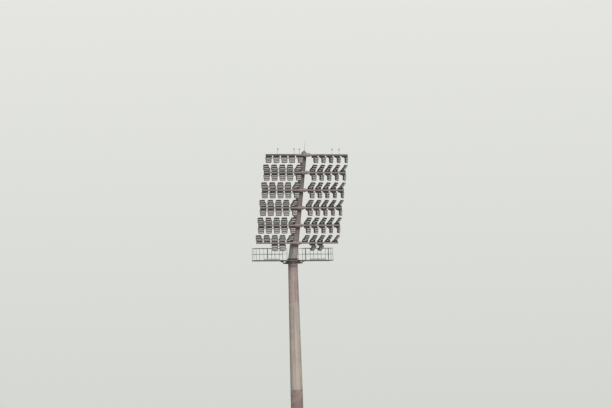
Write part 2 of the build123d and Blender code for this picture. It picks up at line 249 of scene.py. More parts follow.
def eased(tree, value, low, high):
    """0 below low and 1 above high, with a soft step between."""
    return share_of(tree, value, low, high, "SMOOTHSTEP")


def stretched(tree, place, scale):
    """The place scaled in each direction, so that a pattern runs long or short along it."""
    return outcome(tree, "ShaderNodeMapping", "Vector", {"Vector": place, "Scale": scale})


def clouds(tree, place, scale, detail, roughness=0.55):
    """A noise pattern of a given size and fineness."""
    given = {"Vector": place, "Scale": scale, "Detail": detail, "Roughness": roughness}
    return outcome(tree, "ShaderNodeTexNoise", "Fac", given)


def bumped(tree, height, strength, distance):
    """The relief that a height gives to a surface."""
    given = {"Strength": strength, "Distance": distance, "Height": height}
    return outcome(tree, "ShaderNodeBump", "Normal", given)


colour = "NodeSocketColor"
value = "NodeSocketFloat"
direction = "NodeSocketVector"

weathered_paint, given, put_out = new_group(
    "weathered paint",
    [
        ("Place", direction, None),
        ("Pattern Scale", value, 1.0),
        ("Paint", colour, tone(170, 160, 150)),
        ("Chalk", colour, tone(200, 192, 182)),
        ("Soot", colour, tone(80, 76, 72)),
        ("Rust", colour, tone(104, 62, 42)),
        ("Chalking", value, 0.5),
        ("Sooting", value, 0.5),
        ("Rusting", value, 0.3),
        ("Roughness", value, 0.6),
    ],
    [("Colour", colour), ("Roughness", value), ("Height", value)],
)
tree = weathered_paint
scaling = {0: given["Place"], "Scale": given["Pattern Scale"]}
spread = outcome(tree, "ShaderNodeVectorMath", 0, scaling, operation="SCALE")
patches = eased(tree, clouds(tree, spread, 0.9, 5.0), 0.36, 0.68)
long_runs = clouds(tree, stretched(tree, spread, (5.0, 5.0, 0.16)), 1.0, 4.0)
thin_runs = clouds(tree, stretched(tree, spread, (19.0, 19.0, 0.5)), 1.0, 3.0)
runs = eased(tree, long_runs, 0.46, 0.74)
fine_runs = eased(tree, thin_runs, 0.5, 0.76)
spots = eased(tree, clouds(tree, spread, 4.5, 8.0, 0.7), 0.61, 0.69)
bleeds = worked(tree, "MULTIPLY", fine_runs, patches)
grain = clouds(tree, given["Place"], 60.0, 3.0)
marks = clouds(tree, stretched(tree, given["Place"], (35, 35, 4)), 1.0, 2.0)
chalked = worked(tree, "MULTIPLY", patches, given["Chalking"])
all_runs = worked(tree, "MAXIMUM", runs, worked(tree, "MULTIPLY", fine_runs, 0.6))
sooted = worked(tree, "MULTIPLY", all_runs, given["Sooting"])
rusted = worked(tree, "MULTIPLY", worked(tree, "MAXIMUM", spots, bleeds), given["Rusting"])
coat = mixed(tree, chalked, given["Paint"], given["Chalk"])
coat = mixed(tree, sooted, coat, given["Soot"])
coat = mixed(tree, rusted, coat, given["Rust"])
speckled = worked(tree, "MULTIPLY", eased(tree, grain, 0.4, 0.7), 0.16)
feed(tree, mixed(tree, speckled, coat, given["Soot"]), put_out["Colour"])
rougher = worked(tree, "MULTIPLY_ADD", rusted, 0.25, given["Roughness"])
uneven = worked(tree, "MULTIPLY_ADD", grain, 0.12, rougher)
feed(tree, worked(tree, "MINIMUM", uneven, 1.0), put_out["Roughness"])
fine_grain = worked(tree, "MULTIPLY", grain, 0.25)
brushed = worked(tree, "MULTIPLY_ADD", marks, 0.4, fine_grain)
feed(tree, worked(tree, "MULTIPLY_ADD", rusted, 0.8, brushed), put_out["Height"])

weathered_zinc, given, put_out = new_group(
    "weathered zinc",
    [
        ("Place", direction, None),
        ("Spangle Scale", value, 30.0),
        ("Bright", colour, tone(168, 171, 172)),
        ("Dull", colour, tone(122, 124, 124)),
        ("Stain", colour, tone(96, 84, 70)),
        ("Staining", value, 0.4),
        ("Roughness", value, 0.5),
    ],
    [("Colour", colour), ("Roughness", value), ("Height", value)],
)
tree = weathered_zinc
spangle_values = {"Vector": given["Place"], "Scale": given["Spangle Scale"]}
spangle = outcome(tree, "ShaderNodeTexVoronoi", "Color", spangle_values)
flower = split_up(tree, spangle, "ShaderNodeSeparateColor")
weathering = clouds(tree, given["Place"], 1.6, 5.0)
dulled = eased(tree, weathering, 0.3, 0.8)
bloom = worked(tree, "MULTIPLY_ADD", flower[0], 0.45, dulled)
zinc_runs = clouds(tree, stretched(tree, given["Place"], (14.0, 14.0, 0.7)), 1.0, 4.0)
run_marks = eased(tree, zinc_runs, 0.46, 0.72)
stained = worked(tree, "MULTIPLY", run_marks, given["Staining"])
bloom = worked(tree, "MINIMUM", bloom, 1.0)
bare = mixed(tree, bloom, given["Bright"], given["Dull"])
feed(tree, mixed(tree, stained, bare, given["Stain"]), put_out["Colour"])
patchy = worked(tree, "MULTIPLY_ADD", flower[1], 0.14, given["Roughness"])
feed(tree, worked(tree, "MULTIPLY_ADD", stained, 0.2, patchy), put_out["Roughness"])
pitted = clouds(tree, given["Place"], 90.0, 2.0)
zinc_relief = worked(tree, "MULTIPLY_ADD", flower[0], 0.3, pitted)
feed(tree, zinc_relief, put_out["Height"])


def new_finish(name, metallic=0.0, coat=0.0):
    """A material, its nodes, its shader, and the place on the piece that its pattern follows."""
    finish = bpy.data.materials.new(name)
    finish.use_nodes = True
    tree = finish.node_tree
    shader = tree.nodes["Principled BSDF"]
    feed_all(tree, shader, {"Metallic": metallic, "Coat Weight": coat})
    return finish, tree, shader, add_node(tree, "ShaderNodeTexCoord").outputs["Object"]


def coated(name, group, relief, metallic=0.0, coat=0.0, **values):
    """A finish made by a group. Each of its values is a number, a tone as it looks on a
    screen, or a function that makes it from the finish's nodes and the place."""
    finish, tree, shader, place = new_finish(name, metallic, coat)
    layer = add_node(tree, "ShaderNodeGroup", node_tree=group)
    feed(tree, place, layer.inputs["Place"])
    for label, given_value in values.items():
        if callable(given_value):
            given_value = given_value(tree, place)
        elif isinstance(given_value, tuple):
            given_value = tone(*given_value)
        feed(tree, given_value, layer.inputs[label.replace("_", " ").title()])
    tint, roughness, height = layer.outputs
    bump = bumped(tree, height, 0.5, relief)
    feed_all(tree, shader, {"Base Color": tint, "Roughness": roughness, "Normal": bump})
    return finish


def finish_node(finish, *names):
    """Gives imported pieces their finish."""
    for name in names:
        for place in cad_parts[name].material_slots:
            place.material = finish


def add_rod(bm, start, end, radius, sides=12, end_radius=None):
    """A round bar, tapered where its end has another radius."""
    run = Vector(end) - Vector(start)
    middle = (Vector(end) + Vector(start)) / 2
    bmesh.ops.create_cone(
        bm,
        cap_ends=True,
        segments=sides,
        radius1=radius,
        radius2=radius if end_radius is None else end_radius,
        depth=run.length,
        matrix=Matrix.Translation(middle) @ run.to_track_quat("Z", "Y").to_matrix().to_4x4(),
    )


def edges_of(verts):
    """The edges at some corners, each once and always in the same order."""
    return list(dict.fromkeys(e for v in verts for e in v.link_edges))


def make_piece(bm, name, slot, finishes, *stands_for):
    """A finished piece of the pylon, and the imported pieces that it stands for."""
    mesh = bpy.data.meshes.new(name)
    bm.to_mesh(mesh)
    bm.free()
    for finish in finishes:
        mesh.materials.append(finish)
    mesh.shade_smooth()
    mesh.set_sharp_from_angle(angle=math.radians(32))
    piece = placed(name, mesh)
    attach(piece, "root")
    if stands_for:
        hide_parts(*stands_for)
    return piece


def around(count, first=0.0):
    """Evenly spaced directions around the mast, from the first, in degrees."""
    angles = [math.radians(first + 360 * i / count) for i in range(count)]
    return [Matrix.Rotation(angle, 3, "Z") @ Vector((1, 0, 0)) for angle in angles]


mast_sides = 16
flange_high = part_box("base_flange")[1]
gusset_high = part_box("base_gussets")[1]
bottom_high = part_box("mast_section_bottom")[1]
gusset_count = 12
gusset_thickness = 0.020
weld_leg = 0.014

flange_zinc = coated(
    "flange zinc", weathered_zinc, 0.001, metallic=0.55, spangle_scale=26.0, staining=0.75, roughness=0.55
)
finish_node(flange_zinc, "base_flange")

foot_paint = coated(
    "foot paint", weathered_paint, 0.0015, pattern_scale=3.0, roughness=0.62,
    chalking=0.6, sooting=0.75, rusting=0.85,
    paint=(172, 160, 148), chalk=(190, 180, 168), soot=(92, 84, 76), rust=(100, 58, 38),
)
finish_node(foot_paint, "base_gussets")

bm = bmesh.new()
foot_radius = bottom_high[0] / math.cos(math.pi / mast_sides)
half_turn = Matrix.Rotation(math.pi / mast_sides, 4, "Z")
bead_rings = []
for radius, rise in (
    (foot_radius + weld_leg, 0.0),
    (foot_radius + weld_leg * 0.45, weld_leg * 0.55),
    (foot_radius - 0.001, weld_leg),
    (foot_radius - 0.004, 0.0),
):
    level = Matrix.Translation((0, 0, flange_high[2] + rise))
    ring = bmesh.ops.create_circle(bm, segments=mast_sides, radius=radius, matrix=level @ half_turn)
    bead_rings.append(edges_of(ring["verts"]))
for lower, upper in zip(bead_rings, bead_rings[1:] + bead_rings[:1]):
    bmesh.ops.bridge_loops(bm, edges=lower + upper)
for out in around(gusset_count):
    across = out.cross(Vector((0, 0, 1)))
    for side in (-1, 1):
        root = out * (bottom_high[0] + 0.002) + across * side * (gusset_thickness / 2 + 0.002)
        foot = root + Vector((0, 0, flange_high[2]))
        add_rod(bm, foot, root + Vector((0, 0, gusset_high[2] - 0.006)), weld_leg * 0.55, 6)
        add_rod(bm, foot, foot + out * (gusset_high[0] - bottom_high[0] - 0.012), weld_leg * 0.55, 6)
bmesh.ops.recalc_face_normals(bm, faces=bm.faces)
make_piece(bm, "foot_welds", "mast_paint", [foot_paint])

# --- Mast ---------------------------------------------------------------------------
# Three sixteen-sided tapered sections of folded steel plate, slipped one over the next and
# painted in bands of red and white that have faded. Two seams run up each section.

band_heights = (0.0, 8.1, 16.02, 23.96)
band_paints = (tone(184, 170, 156), tone(130, 112, 105), tone(173, 163, 151), tone(156, 136, 133))
band_edge_wander = 0.05
mast_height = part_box("mast_top_flange")[1][2]

mast_foot_half_width = 0.811
mast_taper = 0.0114
# Painted shade: the mast's top, under the platform, is darkened towards a dark red-grey by this share,
# over this reach.
platform_shade_share = 0.75
platform_shade_reach = 0.75
# Painted shade: the mast's flanks, as the viewpoint sees them, are darkened towards grey by this share.
flank_shade_share = 0.42


def mast_tones(tree, place):
    """Faded bands with wandering edges, with painted shade on the flanks and under the platform."""
    x, y, z = split_up(tree, place)
    wander = worked(tree, "MULTIPLY_ADD", clouds(tree, place, 3.0, 3.0), band_edge_wander, z)
    bands = [(low / mast_height, paint) for low, paint in zip(band_heights, band_paints)]
    banding = ramp(tree, worked(tree, "DIVIDE", wander, mast_height), *bands)
    banding.node.color_ramp.interpolation = "CONSTANT"
    # Painted shade: darker towards the flanks as the viewpoint sees them.
    across = worked(tree, "ABSOLUTE", worked(tree, "MULTIPLY_ADD", y, -0.55, x))
    half_width = worked(tree, "MULTIPLY_ADD", z, -mast_taper, mast_foot_half_width)
    flank = eased(tree, worked(tree, "DIVIDE", across, half_width), 0.55, 1.0)
    painted_flank_shade = worked(tree, "MULTIPLY", flank, flank_shade_share)
    # Painted shade: darker just under the platform.
    near_platform = eased(tree, wander, mast_height - platform_shade_reach, mast_height - 0.05)
    painted_platform_shade = worked(tree, "MULTIPLY", near_platform, platform_shade_share)
    banded = mixed(tree, painted_flank_shade, banding, tone(104, 102, 98))
    return mixed(tree, painted_platform_shade, banded, tone(74, 62, 62))


mast_paint = coated(
    "banded mast paint", weathered_paint, 0.002, pattern_scale=1.0, roughness=0.62,
    chalking=0.45, sooting=0.55, rusting=0.35,
    paint=mast_tones, chalk=(200, 184, 170), soot=(112, 98, 90), rust=(124, 78, 62),
)
finish_node(mast_paint, "mast_section_bottom", "mast_section_middle", "mast_section_top")

seam_bead = 0.007
seam_stand = 0.003
jacking_nut = 0.032
jacking_nut_height = 0.035
jacking_offset = 0.22


def mast_half_width(section, height):
    """From the mast's axis to the flats of a section."""
    low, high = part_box(section)
    rings = [v.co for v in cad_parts[section].data.vertices]
    half_at_low = max(co.x for co in rings if co.z < low[2] + 0.01)
    half_at_high = max(co.x for co in rings if co.z > high[2] - 0.01)
    share = (height - low[2]) / (high[2] - low[2])
    return half_at_low + (half_at_high - half_at_low) * share


bm = bmesh.new()
sections = ("mast_section_bottom", "mast_section_middle", "mast_section_top")
for section in sections:
    low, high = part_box(section)
    for side in (-1, 1):
        ends = []
        for level in (low[2] + 0.02, high[2] - 0.02):
            out = mast_half_width(section, level) + seam_stand - seam_bead
            ends.append(Vector((side * out, 0, level)))
        add_rod(bm, *ends, seam_bead, 8)
for lower, upper in zip(sections, sections[1:]):
    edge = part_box(upper)[0][2]
    for section, level in ((lower, edge - jacking_offset), (upper, edge + jacking_offset)):
        reach = mast_half_width(section, level)
        for out in around(4, 45):
            seat = out * reach + Vector((0, 0, level))
            add_rod(bm, seat - out * 0.006, seat + out * jacking_nut_height, jacking_nut, 6)
            add_rod(bm, seat - out * 0.006, seat + out * 0.004, jacking_nut * 1.3, 14, jacking_nut * 1.05)
            rim = seat + out * jacking_nut_height
            add_rod(bm, rim - out * 0.002, rim + out * 0.003, jacking_nut * 0.62, 12)
make_piece(bm, "mast_seams_and_jacking_nuts", "mast_paint", [mast_paint])

# --- Access door --------------------------------------------------------------------
# A pressed steel door with rounded corners on a welded frame, hung on two lift-off hinges
# and held by three triangular-key locks. An earthing boss is welded beside it.

door_low, door_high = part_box("access_door")
door_paint = coated(
    "door paint", weathered_paint, 0.001, pattern_scale=4.0, roughness=0.5,
    chalking=0.5, sooting=0.6, rusting=0.6,
    paint=(166, 158, 148), chalk=(188, 180, 170), soot=(98, 92, 84), rust=(106, 62, 40),
)
finish_node(door_paint, "access_door_frame")

corner_radius = 0.05
panel_margin = 0.055
panel_rise = 0.006
hinge_radius = 0.011
hinge_length = 0.11
lock_radius = 0.018
hinge_offset = 0.42
lock_offset = 0.45


def picked(geom, kind):
    """The corners, edges or faces among what an operator gives back."""
    return [g for g in geom if isinstance(g, kind)]


def round_off(bm, geom, radius, steps=1, affect="VERTICES"):
    """Rounds off corners, or eases edges."""
    bmesh.ops.bevel(
        bm,
        geom=geom,
        offset=radius,
        offset_type="OFFSET",
        affect=affect,
        segments=steps,
        profile=0.5,
        material=-1,
    )


def rounded_plate(bm, width, length, thickness, radius, steps=4):
    """An upright plate across Y with rounded corners, its back on the plane y = 0."""
    corners = [(-width / 2, 0, -length / 2), (width / 2, 0, -length / 2)]
    corners += [(width / 2, 0, length / 2), (-width / 2, 0, length / 2)]
    bm.faces.new([bm.verts.new(corner) for corner in corners])
    round_off(bm, bm.verts[:], radius, steps)
    bm.faces.ensure_lookup_table()
    drawn = bmesh.ops.extrude_face_region(bm, geom=[bm.faces[0]])["geom"]
    bmesh.ops.translate(bm, vec=(0, thickness, 0), verts=picked(drawn, bmesh.types.BMVert))
    bmesh.ops.holes_fill(bm, edges=[e for e in bm.edges if e.is_boundary], sides=0)
    return picked(drawn, bmesh.types.BMFace)[0]


bm = bmesh.new()
door_width = door_high[0] - door_low[0]
door_length = door_high[2] - door_low[2]
door_middle = (door_low[2] + door_high[2]) / 2
front = rounded_plate(bm, door_width, door_length, door_high[1] - door_low[1] - 0.002, corner_radius)
bmesh.ops.inset_region(bm, faces=[front], thickness=panel_margin, depth=0)
bmesh.ops.inset_region(bm, faces=[front], thickness=0.010, depth=0)
bmesh.ops.translate(bm, vec=(0, panel_rise, 0), verts=front.verts)
bmesh.ops.recalc_face_normals(bm, faces=bm.faces)
bmesh.ops.translate(bm, vec=(0, door_low[1] + 0.001, door_middle), verts=bm.verts)
for level in (-hinge_offset, hinge_offset):
    knuckle = Vector((door_low[0] - 0.004, door_high[1] + 0.004, door_middle + level))
    tall = Vector((0, 0, hinge_length / 2))
    add_rod(bm, knuckle - tall, knuckle - tall * 0.04, hinge_radius, 12)
    add_rod(bm, knuckle + tall * 0.04, knuckle + tall, hinge_radius, 12)
    add_rod(bm, knuckle + tall, knuckle + tall * 1.12, hinge_radius * 0.55, 8)
for level in (-lock_offset, 0.0, lock_offset):
    lock = Vector((door_high[0] - 0.03, door_high[1] - 0.002, door_middle + level))
    add_rod(bm, lock, lock + Vector((0, 0.008, 0)), lock_radius, 20, lock_radius * 0.9)
    add_rod(bm, lock + Vector((0, 0.008, 0)), lock + Vector((0, 0.013, 0)), lock_radius * 0.42, 3)
boss = Vector((door_high[0] + 0.16, mast_half_width("mast_section_bottom", 0.5) - 0.06, 0.5))
add_rod(bm, boss, boss + Vector((0, 0.085, 0)), 0.02, 16)
add_rod(bm, boss + Vector((0, 0.085, 0)), boss + Vector((0, 0.095, 0)), 0.012, 6)
make_piece(bm, "access_door_with_locks", "mast_paint", [door_paint], "access_door")

# --- Bend flanges -------------------------------------------------------------------
# Two ring flanges where the raked head is bolted to the upright mast. They are painted near
# black, welded inside and out, and drawn together by twenty-four bolts.

bend_bolt_count = 24
bend_bolt = 0.024
bend_bolt_circle = 0.476
lower_flange_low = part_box("mast_top_flange")[0]
upper_flange_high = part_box("head_flange")[1]

flange_paint = coated(
    "flange paint", weathered_paint, 0.001, pattern_scale=4.0, roughness=0.62,
    chalking=0.25, sooting=0.8, rusting=0.6,
    paint=(62, 52, 53), chalk=(96, 82, 82), soot=(32, 29, 29), rust=(74, 44, 36),
)
finish_node(flange_paint, "mast_top_flange", "head_flange")

bolt_zinc = coated(
    "bolt zinc", weathered_zinc, 0.0004, metallic=0.7, spangle_scale=180.0, staining=0.7,
    roughness=0.5,
    bright=(96, 94, 92), dull=(66, 63, 61), stain=(60, 42, 34),
)


def add_bolt(bm, seat, out, size):
    """A hexagon head on its washer, standing out from a face."""
    out = Vector(out)
    seat = Vector(seat)
    add_rod(bm, seat, seat + out * size * 0.14, size * 0.95, 12)
    add_rod(bm, seat + out * size * 0.14, seat + out * size * 0.76, size * 0.86, 6)


def add_nut(bm, seat, out, size):
    """A nut on its washer, with the bolt's end standing through it."""
    out = Vector(out)
    add_bolt(bm, seat, out, size)
    add_rod(bm, Vector(seat) + out * size * 0.7, Vector(seat) + out * size * 1.05, size * 0.48, 8)


bm = bmesh.new()
for out in around(bend_bolt_count, 7.5):
    add_bolt(bm, out * bend_bolt_circle + Vector((0, 0, upper_flange_high[2])), (0, 0, 1), bend_bolt)
    add_nut(bm, out * bend_bolt_circle + Vector((0, 0, lower_flange_low[2])), (0, 0, -1), bend_bolt)
make_piece(bm, "bend_flange_bolts", "galvanised_steel", [bolt_zinc])

# --- Raked head mast, cap and lightning rod -----------------------------------------
# A lighter tapered tube that leans over the pitch, closed by a small pointed cap. It is
# darker than the mast below, with soot and with painted shade from the floodlights. A stepped
# copper-steel rod screws into the cap.

head_low, head_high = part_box("head_mast")
rod_low, rod_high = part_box("lightning_rod")
lowest_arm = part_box("arm_1")
highest_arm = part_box("arm_6")
head_axis = ((highest_arm[0] + highest_arm[1]) - (lowest_arm[0] + lowest_arm[1])).normalized()

head_wander = 0.9
# Painted shade: the darker stops towards the cap stand partly for the floodlights' shade, and partly for
# soot.
head_stops = (
    (0.0, (164, 160, 152)),
    (0.13, (164, 158, 150)),
    (0.19, (138, 120, 118)),
    (0.45, (138, 129, 125)),
    (0.75, (126, 120, 117)),
    (1.0, (110, 106, 102)),
)


def head_tones(tree, place):
    """Pale at the foot, and darker towards the cap with soot and with painted floodlight shade."""
    height = split_up(tree, place)["Z"]
    wander = worked(tree, "MULTIPLY_ADD", clouds(tree, place, 1.4, 4.0), head_wander, height)
    stops = [(share, tone(*paint)) for share, paint in head_stops]
    return ramp(tree, share_of(tree, wander, head_low[2], head_high[2]), *stops)


head_paint = coated(
    "head paint", weathered_paint, 0.002, pattern_scale=1.6, roughness=0.66,
    chalking=0.35, sooting=0.65, rusting=0.45,
    paint=head_tones, chalk=(174, 167, 160), soot=(74, 69, 66), rust=(110, 70, 54),
)
finish_node(head_paint, "head_mast", "mast_cap")

rod_metal = coated(
    "rod metal", weathered_zinc, 0.0003, metallic=0.8, spangle_scale=200.0, staining=0.5,
    roughness=0.4,
    bright=(176, 170, 164), dull=(130, 124, 118), stain=(104, 84, 70),
)

bm = bmesh.new()
rod_radius = 0.012
rod_tip_height = rod_high[2] - 0.001
rod_start = Vector((0, rod_high[1] - rod_radius, rod_low[2]))
rod_end = rod_start + head_axis * ((rod_tip_height - 0.012 - rod_low[2]) / head_axis.z)
steps = (
    (0.0, 0.42, rod_radius, rod_radius),
    (0.42, 0.47, rod_radius * 1.5, rod_radius * 1.5),
    (0.47, 0.93, rod_radius * 0.75, rod_radius * 0.75),
    (0.93, 1.0, rod_radius * 0.75, 0.001),
)
for start, end, foot_radius, top_radius in steps:
    add_rod(bm, rod_start.lerp(rod_end, start), rod_start.lerp(rod_end, end), foot_radius, 16, top_radius)
make_piece(bm, "stepped_lightning_rod", "galvanised_steel", [rod_metal], "lightning_rod")

# --- Arms and brackets --------------------------------------------------------------
# Six level box arms with a deep middle. Each is welded up from plate, capped at its ends,
# and drawn back onto a bracket on the head by flat straps and through bolts.

tiers = range(1, 7)
arm_low, arm_high = {}, {}
for tier in tiers:
    arm_low[tier], arm_high[tier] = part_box(f"arm_{tier}")
arm_height = 0.150
cap_plate = 0.005
cap_margin = 0.006
strap_width = 0.07
strap_thickness = 0.010
strap_place = 0.155
strap_bolt = 0.022
lug_thickness = 0.02
plug_radius = 0.03
plug_clearance = 0.5
lamp_pitch = 0.795

arm_spacing = arm_low[2][2] - arm_low[1][2]
lowest_middle = (arm_low[1][2] + arm_high[1][2]) / 2


def arm_tones(tree, place):
    """Painted shade on the undersides, greyer away from the head, and the top arm's outer lengths black.
    """
    split = split_up(tree, place)
    above_lowest = worked(tree, "SUBTRACT", split["Z"], lowest_middle)
    in_spacings = worked(tree, "ADD", worked(tree, "DIVIDE", above_lowest, arm_spacing), 10.5)
    height_in_arm = worked(tree, "SUBTRACT", worked(tree, "FRACT", in_spacings), 0.5)
    # Painted shade: the lower part of each arm is darkened towards a dark grey, most near the head.
    underside = worked(tree, "SUBTRACT", 1.0, eased(tree, height_in_arm, -0.028, 0.006))
    outboard = eased(tree, worked(tree, "ABSOLUTE", split["X"]), 0.35, 1.5)
    on_top_arm = eased(tree, in_spacings, 15.3, 15.4)
    under_head = worked(tree, "MULTIPLY_ADD", outboard, -0.3, 0.85)
    painted_underside_shade = worked(tree, "MULTIPLY", underside, under_head)
    clean = mixed(tree, outboard, tone(160, 143, 139), tone(142, 131, 132))
    with_underside_shade = mixed(tree, painted_underside_shade, clean, tone(84, 77, 76))
    blackened = worked(tree, "MULTIPLY", worked(tree, "MULTIPLY", on_top_arm, outboard), 0.75)
    return mixed(tree, blackened, with_underside_shade, tone(62, 60, 60))


arm_paint = coated(
    "arm paint", weathered_paint, 0.001, pattern_scale=3.0, roughness=0.6,
    chalking=0.25, sooting=0.65, rusting=0.4,
    paint=arm_tones, chalk=(164, 152, 148), soot=(78, 71, 69), rust=(112, 72, 56),
)
finish_node(arm_paint, "arm_brackets", *[f"arm_{tier}" for tier in tiers])


def add_bar(bm, corner, far_corner, edge=0.0):
    """A squared bar between any two opposite corners, with its edges eased."""
    low = Vector([min(pair) for pair in zip(corner, far_corner)])
    high = Vector([max(pair) for pair in zip(corner, far_corner)])
    place = Matrix.Translation((low + high) / 2) @ Matrix.Diagonal((*(high - low), 1))
    made = bmesh.ops.create_cube(bm, size=1, matrix=place)["verts"]
    if edge:
        round_off(bm, edges_of(made), edge, affect="EDGES")


bm = bmesh.new()
for tier in tiers:
    low, high = arm_low[tier], arm_high[tier]
    middle = (low + high) / 2
    cap_half = arm_height / 2 + cap_margin
    for side in (-1, 1):
        add_bar(
            bm,
            (side * high[0], low[1] - cap_margin, middle.z - cap_half),
            (side * (high[0] + cap_plate), high[1] + cap_margin, middle.z + cap_half),
            0.0015,
        )
        strap = side * strap_place
        half = (high[2] - low[2]) / 2
        add_bar(
            bm,
            (strap - strap_width / 2, low[1] - strap_thickness, middle.z - half - lug_thickness),
            (strap + strap_width / 2, low[1] + 0.0005, middle.z + half + lug_thickness),
            0.003,
        )
        for up_or_down in (-1, 1):
            seat = Vector((strap, low[1] - strap_thickness, middle.z + up_or_down * (half - 0.045)))
            add_nut(bm, seat, (0, -1, 0), strap_bolt)
            lug = middle.z + up_or_down * half
            add_bar(
                bm,
                (strap - strap_width / 2, low[1] - strap_thickness, lug),
                (strap + strap_width / 2, high[1] + 0.01, lug + up_or_down * lug_thickness),
                0.003,
            )
    for side in (-1, 1):
        for bay in range(5):
            x = side * (bay + 0.5) * lamp_pitch
            if abs(x) < plug_clearance:
                continue
            outer, inner = (x, low[1] - 0.004, middle.z), (x, low[1] + 0.002, middle.z)
            add_rod(bm, outer, inner, plug_radius, 12, plug_radius + 0.002)
make_piece(bm, "arm_caps_and_straps", "arm_steel", [arm_paint])

# --- Floodlights --------------------------------------------------------------------
# Trapezoid floodlights of cast and pressed aluminium with ribbed backs. Each is hung in a
# steel strap on a dark gear box, which is bolted to the arm, and is turned to its own aim.

lamp_wide_end = 0.600
lamp_narrow_end = 0.500
lamp_height = 0.550
lamp_back = 0.075
lamp_front = 0.110
lamp_rim = 0.060
lamp_corner = 0.032
rib_pitch = 0.036
rib_half = 0.003
clip_heights = (-0.03, 0.31)
clip_length = 0.034
wing_offset = 0.150
glass_seat = 0.014 - lamp_front
pivot_inset = 0.110
foot_size = Vector((0.580, 0.150, 0.120))
pivot_heights = {1: 0.186, -1: 0.116}
pivot_reaches = {1: 0.110, -1: 0.140}
pivot_bar = 0.025
ear_place = 0.312
strap_metal = 0.008
stirrup_foot = 0.190
stirrup_tip = 0.064
stirrup_head = 0.026
strap_bend = 0.030
aims = {-5: -41, -4: -34, -3: -25, -2: -23, -1: 5, 1: 18, 2: 26, 3: 30, 4: 36, 5: 44}
tilts = {1: 38, -1: 4}
lowest_arm_tilts = {-3: 4, -2: 4, 2: 36, 3: 36}
storey = arm_spacing / 2

each_floodlight, given, put_out = new_group(
    "each floodlight", [("Place", direction, None)], [("Shade", value), ("Hue", value)],
)
tree = each_floodlight
split = split_up(tree, given["Place"])
along = worked(tree, "ROUND", worked(tree, "DIVIDE", split["X"], lamp_pitch))
above = worked(tree, "SUBTRACT", split["Z"], lowest_middle)
level = worked(tree, "FLOOR", worked(tree, "DIVIDE", above, storey))
pair = outcome(tree, "ShaderNodeCombineXYZ", 0, {"X": along, "Y": level})
chance = outcome(tree, "ShaderNodeTexWhiteNoise", "Color", {"Vector": pair}, noise_dimensions="2D")
chances = split_up(tree, chance, "ShaderNodeSeparateColor")
feed(tree, chances[0], put_out["Shade"])
feed(tree, chances[1], put_out["Hue"])


def lamp_tones(dark, warm, light):
    """A paint that differs from one floodlight to the next, between three tones."""

    def made(tree, place):
        own = add_node(tree, "ShaderNodeGroup", node_tree=each_floodlight)
        feed(tree, place, own.inputs["Place"])
        warmed = mixed(tree, own.outputs["Hue"], tone(*dark), tone(*warm))
        return mixed(tree, worked(tree, "MULTIPLY", own.outputs["Shade"], 0.7), warmed, tone(*light))

    return made


housing_paint = coated(
    "housing paint", weathered_paint, 0.0006, pattern_scale=9.0, roughness=0.55,
    chalking=0.35, sooting=0.7, rusting=0.3,
    paint=lamp_tones((74, 70, 66), (94, 78, 72), (112, 106, 98)), chalk=(132, 126, 118),
    soot=(44, 40, 38), rust=(98, 66, 50),
)

rim_paint = coated(
    "rim paint", weathered_paint, 0.0004, pattern_scale=11.0, roughness=0.5,
    chalking=0.35, sooting=0.6, rusting=0.35,
    paint=lamp_tones((42, 40, 38), (52, 45, 42), (62, 59, 56)), chalk=(84, 80, 76), soot=(26, 25, 24),
    rust=(90, 58, 42),
)

reflector_metal = coated(
    "reflector metal", weathered_zinc, 0.0002, metallic=0.5, spangle_scale=120.0, staining=0.3,
    roughness=0.4,
    bright=lamp_tones((206, 202, 196), (216, 202, 192), (228, 226, 220)), dull=(184, 178, 172),
    stain=(112, 102, 92),
)

bowl_metal = coated(
    "bowl metal", weathered_zinc, 0.0003, metallic=0.3, spangle_scale=60.0, staining=0.5,
    roughness=0.5,
    bright=lamp_tones((120, 114, 110), (140, 120, 112), (156, 150, 140)), dull=(98, 92, 88),
    stain=(64, 56, 50),
)

tube_glass = coated(
    "lamp tube", weathered_zinc, 0.0001, coat=0.6, spangle_scale=70.0, staining=0.3, roughness=0.2,
    bright=(222, 218, 208), dull=(200, 194, 182), stain=(120, 108, 92),
)

blade_paint = coated(
    "blade paint", weathered_paint, 0.0003, pattern_scale=14.0, roughness=0.5,
    chalking=0.3, sooting=0.5, rusting=0.2,
    paint=lamp_tones((214, 208, 204), (224, 208, 196), (238, 236, 230)), chalk=(236, 234, 230),
    soot=(120, 114, 108), rust=(130, 92, 70),
)

stirrup_paint = coated(
    "stirrup paint", weathered_paint, 0.0006, pattern_scale=8.0, roughness=0.6,
    chalking=0.35, sooting=0.6, rusting=0.4,
    paint=(34, 32, 31), chalk=(58, 54, 51), soot=(20, 19, 19), rust=(70, 44, 34),
)


def lamp_outline(bm, distance):
    """The floodlight's rounded face: wide at its pivot end, narrow at its far end."""
    low = -pivot_inset
    high = lamp_height - pivot_inset
    corners = [(-lamp_wide_end / 2, low), (lamp_wide_end / 2, low)]
    corners += [(lamp_narrow_end / 2, high), (-lamp_narrow_end / 2, high)]
    bm.faces.new([bm.verts.new((x, distance, z)) for x, z in corners])
    round_off(bm, bm.verts[:], lamp_corner, 3)
    bm.faces.ensure_lookup_table()
    return bm.faces[0]


def finish_new(bm, before, finish):
    """Gives the faces that weren't there before their finish."""
    for face in set(bm.faces) - before:
        face.material_index = finish


